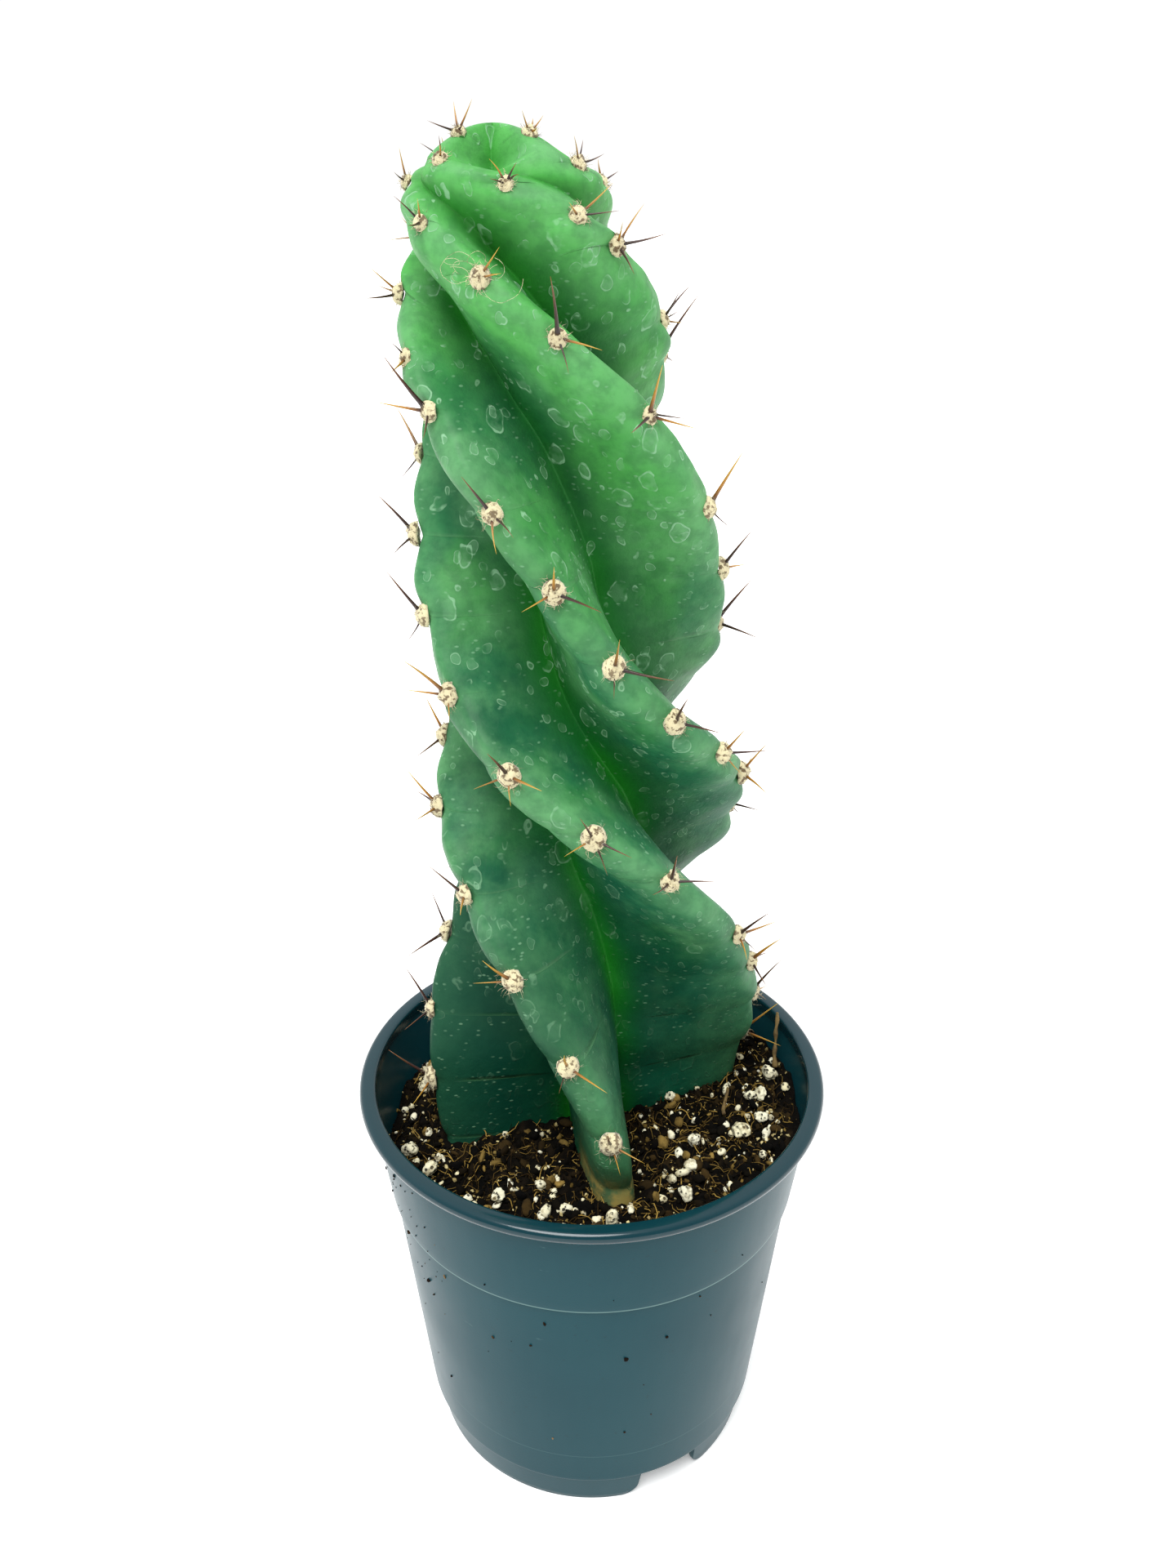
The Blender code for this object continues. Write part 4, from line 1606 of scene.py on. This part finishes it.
            rows.append((lip + rolled + rolled * np.cos(angle),
                         self.rim_height - rolled + rolled * np.sin(angle)))
        floor_top = self.foot_height + self.wall
        for height in np.linspace(band_top, floor_top + self.floor_round, 40):
            rows.append((self.inside(height), height))
        for part in np.linspace(1, 0.02, 14):
            rows.append(((self.inside(floor_top) - self.floor_round) * part, floor_top))
        level = np.ones_like(edge)
        return np.stack([row[0] * level for row in rows]), np.stack([row[1] * level for row in rows])

    def _drill(self, piece: bpy.types.Object) -> None:
        """Cuts the round drain holes through the floor and keeps the result as the mesh.

        Args:
            piece: The pot.
        """
        for index in range(self.drain_count):
            drill = bmesh.new()
            bmesh.ops.create_cone(drill, cap_ends=True, segments=48, radius1=self.drain_radius,
                                  radius2=self.drain_radius, depth=0.006)
            turn = (index + 0.5) * 2 * math.pi / self.drain_count
            place = (self.drain_circle * math.cos(turn), self.drain_circle * math.sin(turn),
                     self.foot_height)
            bmesh.ops.translate(drill, verts=drill.verts, vec=Vector(place))
            mesh = bpy.data.meshes.new("drill")
            drill.to_mesh(mesh)
            drill.free()
            tool = bpy.data.objects.new("drill", mesh)
            bpy.context.scene.collection.objects.link(tool)
            cut = piece.modifiers.new("cut", "BOOLEAN")
            cut.operation = "DIFFERENCE"
            cut.solver = "EXACT"
            cut.object = tool
            bpy.context.view_layer.update()
            drilled = piece.evaluated_get(bpy.context.evaluated_depsgraph_get())
            shaped = bpy.data.meshes.new_from_object(drilled)
            piece.modifiers.clear()
            piece.data = shaped
            bpy.data.objects.remove(tool)
        piece.data.shade_smooth()
        piece.data.set_sharp_from_angle(angle=math.radians(self.crease_degrees))


@dataclass
class PottingBed:
    """The potting mix: an uneven bed with crumbs, fibres, straw and perlite on it."""

    pot: NurseryPot
    form: StemForm
    tilt_x: float = 0.085
    tilt_y: float = 0.030
    roughness: float = 0.0007
    gap: float = 0.0003
    columns: int = 300
    rings: int = 120
    seed: int = 77
    bark_count: int = 1500
    fine_count: int = 5200
    perlite_count: int = 430
    fibre_count: int = 1800
    fibre_steps: int = 6
    fibre_sides: int = 4
    straw_steps: int = 26
    straw_radius: float = 0.00048
    specks_left: int = 50
    specks_round: int = 20
    chosen_perlite: tuple = (
        (0.0420, -0.0055, 1.9), (0.0250, -0.0125, 2.2), (0.0235, -0.0230, 2.0), (0.0045, -0.0370, 2.2),
        (-0.0450, -0.0085, 2.4), (-0.0372, -0.0120, 1.6), (-0.0215, -0.0360, 2.0), (0.0400, 0.0000, 1.5),
        (0.0425, 0.0010, 1.8), (0.0200, 0.0030, 1.8), (0.0455, 0.0080, 2.1), (-0.0300, 0.0240, 2.0),
        (0.0120, 0.0400, 2.1), (-0.0120, -0.0240, 1.6), (0.0330, 0.0270, 1.9), (-0.0440, 0.0140, 1.9))

    def level(self, x: Array, y: Array) -> Array:
        """Height of the bed: a tilted plane with two slow ripples and finer clods.

        Args:
            x: Places from left to right.
            y: Places from front to back.

        Returns:
            The heights.
        """
        ripple = np.sin(310 * x + 1.3) * np.cos(260 * y - 0.4) + np.sin(170 * x - 330 * y + 2.1)
        base = self.form.soil_level + self.tilt_x * x + self.tilt_y * y + self.roughness * ripple
        flat = np.stack([x, y, np.zeros_like(x)], -1)
        return base + 0.0006 * waves(flat, 0.007, 16, 31) + 0.00045 * waves(flat, 0.0032, 16, 32)

    def clear_places(self, count: int, rng: np.random.Generator, margin: float) -> tuple[Array, Array]:
        """Random places on the bed that are clear of the stem and the wall.

        Args:
            count: How many places to draw.
            rng: Source of the draws.
            margin: Distance kept from the wall and the stem.

        Returns:
            The places' x and y.
        """
        turn = rng.uniform(0, 2 * np.pi, count)
        far = np.sqrt(rng.uniform(0, 1, count)) * (self.pot.inside(self.form.soil_level) - margin)
        x, y = far * np.cos(turn), far * np.sin(turn)
        middle = self.form.axis(np.array(0.0))
        dx, dy = x - middle[0], y - middle[1]
        bearing = np.arctan2(dy, dx)
        off = np.full(count, np.pi / 4)
        for rib in range(4):
            crest = self.form.bearing(np.array(rib), np.array(0.0))
            away = np.abs((bearing - crest + np.pi) % (2 * np.pi) - np.pi)
            off = np.minimum(off, away)
        stem = self.form.reach(np.zeros(count), off)
        keep = np.hypot(dx, dy) > stem + margin * 0.8
        return x[keep], y[keep]

    def build(self) -> list[bpy.types.Object]:
        """Builds every piece of the bed.

        Returns:
            The pieces.
        """
        rng = np.random.default_rng(self.seed)
        pieces = [self._bed(), self._crumbs(rng), self._fine_crumbs(rng), self._fibres(rng),
                  self._small_perlite(rng), self._large_perlite(rng)]
        pieces += self._straws()
        pieces.append(self._wall_crumbs(rng))
        for piece in pieces:
            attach(piece, "root")
        return pieces

    def _bed(self) -> bpy.types.Object:
        """The plug's skin: bottom, side and top as rows of a turned grid.

        Returns:
            The bed.
        """
        turn = np.arange(self.columns) * 2 * np.pi / self.columns
        floor = self.pot.foot_height + self.pot.wall + self.gap
        level = np.ones(self.columns)
        rows: list[Array] = []
        for part in np.linspace(0.05, 1, 8):
            reach = (self.pot.inside(floor + 0.001) - self.gap) * part * level
            rows.append(np.stack([reach * np.cos(turn), reach * np.sin(turn), floor * level], -1))
        edge_reach = self.pot.inside(self.form.soil_level) - self.gap
        top = self.level(edge_reach * np.cos(turn), edge_reach * np.sin(turn))
        for part in np.linspace(0.04, 1, 24):
            height = floor + (top - floor) * part
            reach = self.pot.inside(height) - self.gap
            rows.append(np.stack([reach * np.cos(turn), reach * np.sin(turn), height], -1))
        for part in np.linspace(0.992, 0.01, self.rings):
            reach = (self.pot.inside(top) - self.gap) * part
            x, y = reach * np.cos(turn), reach * np.sin(turn)
            rows.append(np.stack([x, y, self.level(x, y)], -1))
        points = np.stack(rows)
        count = len(rows)
        poles = np.array([(0, 0, floor), (0, 0, float(self.level(np.zeros(1), np.zeros(1))[0]))])
        body = np.concatenate([points.reshape(-1, 3), poles])
        faces = closed_grid(count, self.columns)
        tint = 0.5 + 0.35 * waves(body, 0.005, 12, 41)
        finish = TintedGrain("peat_bed", ((0.0, (0.0010, 0.0010, 0.0008)), (0.6, (0.0030, 0.0022, 0.0012)),
                                          (1.0, (0.014, 0.009, 0.004))), mottle=0.6, relief=0.0006)
        piece = make_piece("potting_bed", body, faces, finish.material(), {Attribute.TINT: tint})
        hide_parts("potting_soil")
        return piece

    def _scatter(self, name: str, count: int, half: tuple[float, float], flat: float, rough: float,
                 subdivisions: int, material: bpy.types.Material, rng: np.random.Generator,
                 bury: float = 0.3) -> bpy.types.Object:
        """Strews grains over the bed.

        Args:
            name: The piece's name.
            count: How many grains are drawn before those in the stem are dropped.
            half: Smallest and largest half size.
            flat: Thickness as a part of the length.
            rough: Height of the grains' waves.
            subdivisions: Fineness of each grain.
            material: The grains' finish.
            rng: Source of the draws.
            bury: Part of a grain's size that is sunk in the bed.

        Returns:
            The grains as one piece.
        """
        x, y = self.clear_places(count, rng, half[1] * 0.8)
        size = half[0] * (half[1] / half[0]) ** (rng.uniform(0, 1, len(x)) ** 1.8)
        sizes = size[:, None] * np.stack([np.ones(len(x)), rng.uniform(0.5, 0.9, len(x)),
                                          np.full(len(x), flat) * rng.uniform(0.7, 1.3, len(x))], -1)
        centres = np.stack([x, y, self.level(x, y) + size * (flat - bury)], -1)
        points, faces = lumps(centres, sizes, rng, rough, subdivisions)
        tint = np.repeat(rng.uniform(0, 1, len(x)), len(points) // len(x))
        piece = make_piece(name, points, faces, material, {Attribute.TINT: tint}, smooth=subdivisions > 1)
        return piece

    def _crumbs(self, rng: np.random.Generator) -> bpy.types.Object:
        """Bits of bark and clods of peat."""
        finish = TintedGrain("bark_crumb", ((0.0, (0.001, 0.001, 0.001)), (0.62, (0.004, 0.003, 0.0015)),
                                            (0.88, (0.045, 0.027, 0.008)), (1.0, (0.26, 0.17, 0.045))))
        return self._scatter("bark_crumbs", self.bark_count, (0.0006, 0.0019), 0.5, 0.30, 2,
                             finish.material(), rng)

    def _fine_crumbs(self, rng: np.random.Generator) -> bpy.types.Object:
        """Fine crumbs between the larger ones."""
        finish = TintedGrain("fine_crumb", ((0.0, (0.001, 0.001, 0.001)), (0.58, (0.008, 0.005, 0.002)),
                                            (0.82, (0.17, 0.11, 0.026)), (1.0, (0.66, 0.56, 0.27))))
        return self._scatter("fine_crumbs", self.fine_count, (0.00022, 0.0007), 0.6, 0.30, 1,
                             finish.material(), rng, bury=0.1)

    def _small_perlite(self, rng: np.random.Generator) -> bpy.types.Object:
        """The many small perlite grains."""
        return self._scatter("perlite_grains", self.perlite_count, (0.00035, 0.0017), 0.8, 0.24, 2,
                             PorousMineral().material(), rng, bury=0.25)

    def _large_perlite(self, rng: np.random.Generator) -> bpy.types.Object:
        """The largest granules: those in the frame and a few more from a given list.

        Args:
            rng: Source of the draws.

        Returns:
            The granules as one piece.
        """
        nodes = sorted(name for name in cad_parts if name.startswith("perlite_"))
        boxes = [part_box(name) for name in nodes]
        centres = [np.array((low + high) / 2) for low, high in boxes]
        sizes = [np.array(high - low) * 0.42 for low, high in boxes]
        for x, y, half in self.chosen_perlite:
            height = float(self.level(np.array([x]), np.array([y]))[0]) + half * 0.55 * MM
            centres.append(np.array((x, y, height)))
            sizes.append(np.array((half, half * 0.8, half * 0.7)) * MM)
        points, faces = lumps(np.array(centres), np.array(sizes), rng, 0.20, 4)
        corners = len(points) // len(centres)
        tint = np.repeat(rng.uniform(0, 0.7, len(centres)), corners)
        out = unit(points - np.repeat(np.array(centres), corners, axis=0))
        points = points + out * (0.00012 * waves(points, 0.0011, 14, 52))[:, None]
        piece = make_piece("perlite_granules", points, faces, PorousMineral().material(),
                           {Attribute.TINT: tint})
        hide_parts(*nodes)
        return piece

    def _fibres(self, rng: np.random.Generator) -> bpy.types.Object:
        """Fine roots and peat fibres lying over the bed in loose bends.

        Args:
            rng: Source of the draws.

        Returns:
            The fibres as one piece.
        """
        x, y = self.clear_places(self.fibre_count, rng, 0.002)
        count, steps = len(x), self.fibre_steps
        turn = rng.uniform(0, 2 * np.pi, (count, 1))
        turn = turn + np.cumsum(rng.normal(0, 0.45, (count, steps)), axis=1)
        stride = rng.uniform(0.0004, 0.0016, (count, 1))
        px = x[:, None] + np.cumsum(stride * np.cos(turn), axis=1)
        py = y[:, None] + np.cumsum(stride * np.sin(turn), axis=1)
        lift = rng.uniform(0.0001, 0.0016, (count, 1)) * np.sin(np.linspace(0.2, 2.9, steps))
        inside = np.hypot(px, py) < self.pot.inside(self.form.soil_level) - 0.0008
        keep = inside.all(axis=1)
        paths = np.stack([px, py, self.level(px, py) + lift], -1)[keep]
        radii = rng.uniform(0.00005, 0.00018, (len(paths), 1)) * np.linspace(1.1, 0.5, steps)
        points, faces = tubes(paths, radii, self.fibre_sides)
        finish = TintedGrain("peat_fibre", ((0.0, (0.004, 0.003, 0.001)), (0.5, (0.050, 0.028, 0.008)),
                                            (1.0, (0.40, 0.26, 0.060))), mottle=0.2)
        tint = np.repeat(rng.uniform(0, 1, len(paths)), steps * self.fibre_sides + 2)
        piece = make_piece("peat_fibres", points, faces, finish.material(), {Attribute.TINT: tint})
        return piece

    def _straws(self) -> list[bpy.types.Object]:
        """The two straws, along the frame's straws: thin, uneven and slightly bent.

        Returns:
            Both pieces.
        """
        material = DryStem().material()
        pieces = []
        for name in ("straw_standing", "straw_lying"):
            corners = node_corners(name)
            middle = corners.mean(axis=0)
            spread = corners - middle
            long_way = np.linalg.svd(spread, full_matrices=False)[2][0]
            ends = spread @ long_way
            t = np.linspace(ends.min() + 0.0004, ends.max() - 0.0004, self.straw_steps)
            path = middle + t[:, None] * long_way
            path = path + 0.00025 * np.stack([waves(path, 0.008, 5, s) for s in (61, 62, 63)], -1)
            radii = self.straw_radius * (1 + 0.22 * waves(path, 0.004, 6, 64))
            radii = radii * np.linspace(0.8, 1.2, self.straw_steps)
            points, faces = tubes(path[None], radii[None], 12)
            piece = make_piece(f"dry_{name}", points, faces, material)
            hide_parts(name)
            pieces.append(piece)
        return pieces

    def _wall_crumbs(self, rng: np.random.Generator) -> bpy.types.Object:
        """Specks of mix that cling to the left of the pot's wall.

        Args:
            rng: Source of the draws.

        Returns:
            The specks as one piece.
        """
        left, rest = self.specks_left, self.specks_round
        count = left + rest
        turn = np.radians(np.concatenate([rng.normal(212, 9, left), rng.uniform(190, 350, rest)]))
        height = np.concatenate([rng.normal(0.078, 0.011, left), rng.uniform(0.02, 0.09, rest)])
        height = np.clip(height, 0.015, 0.098)
        on_band = height > self.pot.step_height + 0.001
        radius = np.where(on_band, self.pot.band(height), self.pot.wall_outside(height))
        centres = np.stack([radius * np.cos(turn), radius * np.sin(turn), height], -1)
        size = 0.00015 * (0.0008 / 0.00015) ** (rng.uniform(0, 1, count) ** 2)
        sizes = size[:, None] * np.array((1.0, 0.8, 0.6))
        points, faces = lumps(centres, sizes, rng, 0.3, 2)
        tint = np.repeat(rng.uniform(0, 1, count) ** 2, len(points) // count)
        finish = TintedGrain("clinging_crumb", ((0.0, (0.006, 0.004, 0.003)), (0.7, (0.05, 0.028, 0.012)),
                                                (1.0, (0.30, 0.20, 0.10))))
        piece = make_piece("wall_crumbs", points, faces, finish.material(), {Attribute.TINT: tint})
        return piece


@dataclass
class Studio:
    """Pale floor, soft white light and the camera."""

    camera_place: tuple = (-0.0009, -0.2613, 0.3082)
    camera_target: tuple = (-0.0009, 0.0, 0.1817)
    lens: float = 30.0
    sensor: float = 36.0
    key_place: tuple = (-0.16, -0.48, 1.20)
    key_target: tuple = (0.0, 0.0, 0.15)
    key_spread: float = 34.0
    key_power: float = 3.6
    floor_half: float = 6.0
    floor_dim: tuple = (0.93, 0.935, 0.93)
    floor_bright: tuple = (0.95, 0.95, 0.95)
    floor_glow: float = 0.25

    def build(self) -> None:
        """Sets up the whole studio."""
        self._floor()
        self._camera()
        self._world()
        self._light("key", self.key_place, self.key_target, self.key_spread, self.key_power)
        bpy.context.scene.view_settings.view_transform = "Standard"

    def _floor(self) -> None:
        """A wide white sheet under the pot."""
        half = self.floor_half
        points = np.array([(-half, -half, 0), (half, -half, 0), (half, half, 0), (-half, half, 0)], float)
        shade = Shade("white_sheet")
        colour = shade.mix(shade.noise(3, 2), self.floor_dim, self.floor_bright)
        material = shade.finish({"Base Color": colour, "Roughness": 0.9, "Emission Color": (1.0, 1.0, 1.0),
                                 "Emission Strength": self.floor_glow})
        make_piece("studio_floor", points, [np.array([[0, 1, 2, 3]])], material)

    def _camera(self) -> None:
        """A level-headed camera that looks down at the pot."""
        data = bpy.data.cameras.new("camera")
        data.lens = self.lens
        data.sensor_width = self.sensor
        data.sensor_fit = "AUTO"
        data.clip_start = 0.01
        camera = bpy.data.objects.new("camera", data)
        camera.location = self.camera_place
        camera.rotation_euler = aim(self.camera_place, self.camera_target)
        bpy.context.scene.collection.objects.link(camera)
        bpy.context.scene.camera = camera

    def _world(self) -> None:
        """White surroundings, dimmer on the side that the camera stands on."""
        world = bpy.data.worlds.new("white_surroundings")
        world.use_nodes = True
        nodes, links = world.node_tree.nodes, world.node_tree.links
        nodes["Background"].inputs["Color"].default_value = (1, 1, 1, 1)
        place = nodes.new("ShaderNodeTexCoord")
        split = nodes.new("ShaderNodeSeparateXYZ")
        fade = nodes.new("ShaderNodeMapRange")
        for name, value in {"From Min": -0.7, "From Max": 0.1, "To Min": 0.30, "To Max": 1.05}.items():
            fade.inputs[name].default_value = value
        links.new(place.outputs["Generated"], split.inputs["Vector"])
        links.new(split.outputs["Y"], fade.inputs["Value"])
        links.new(fade.outputs["Result"], nodes["Background"].inputs["Strength"])
        bpy.context.scene.world = world

    def _light(self, name: str, place: tuple, target: tuple, spread: float, power: float) -> None:
        """A wide soft light from far away, turned to a target.

        Args:
            name: The light's name.
            place: Where it stands.
            target: What it points at.
            spread: Its width in degrees.
            power: Its strength.
        """
        data = bpy.data.lights.new(name, "SUN")
        data.angle = math.radians(spread)
        data.energy = power
        light = bpy.data.objects.new(name, data)
        light.location = place
        light.rotation_euler = aim(place, target)
        bpy.context.scene.collection.objects.link(light)


def aim(place: tuple, target: tuple) -> Euler:
    """Turn that points a camera or a light at the target.

    Args:
        place: Where it stands.
        target: What it points at.

    Returns:
        The turn.
    """
    return (Vector(target) - Vector(place)).to_track_quat("-Z", "Y").to_euler()


def report(pieces: list[bpy.types.Object]) -> None:
    """Logs each piece and its face count."""
    for piece in pieces:
        LOG.info("%s: %d faces", piece.name, len(piece.data.polygons))


def main() -> None:
    """Builds the studio and the sub-assemblies in order."""
    logging.basicConfig(level=logging.INFO, format="%(name)s %(message)s")
    Studio().build()
    form = StemForm()
    areoles = AreoleSet(form)
    areoles.read_frame()
    areoles.add_tip(np.random.default_rng(TIP_SEED))
    pot = NurseryPot()
    report([pot.build()])
    report(PottingBed(pot, form).build())
    report([SpiralStem(form, areoles).build()])
    report(AreoleDress(areoles).build())


if __name__ == "__main__":
    main()
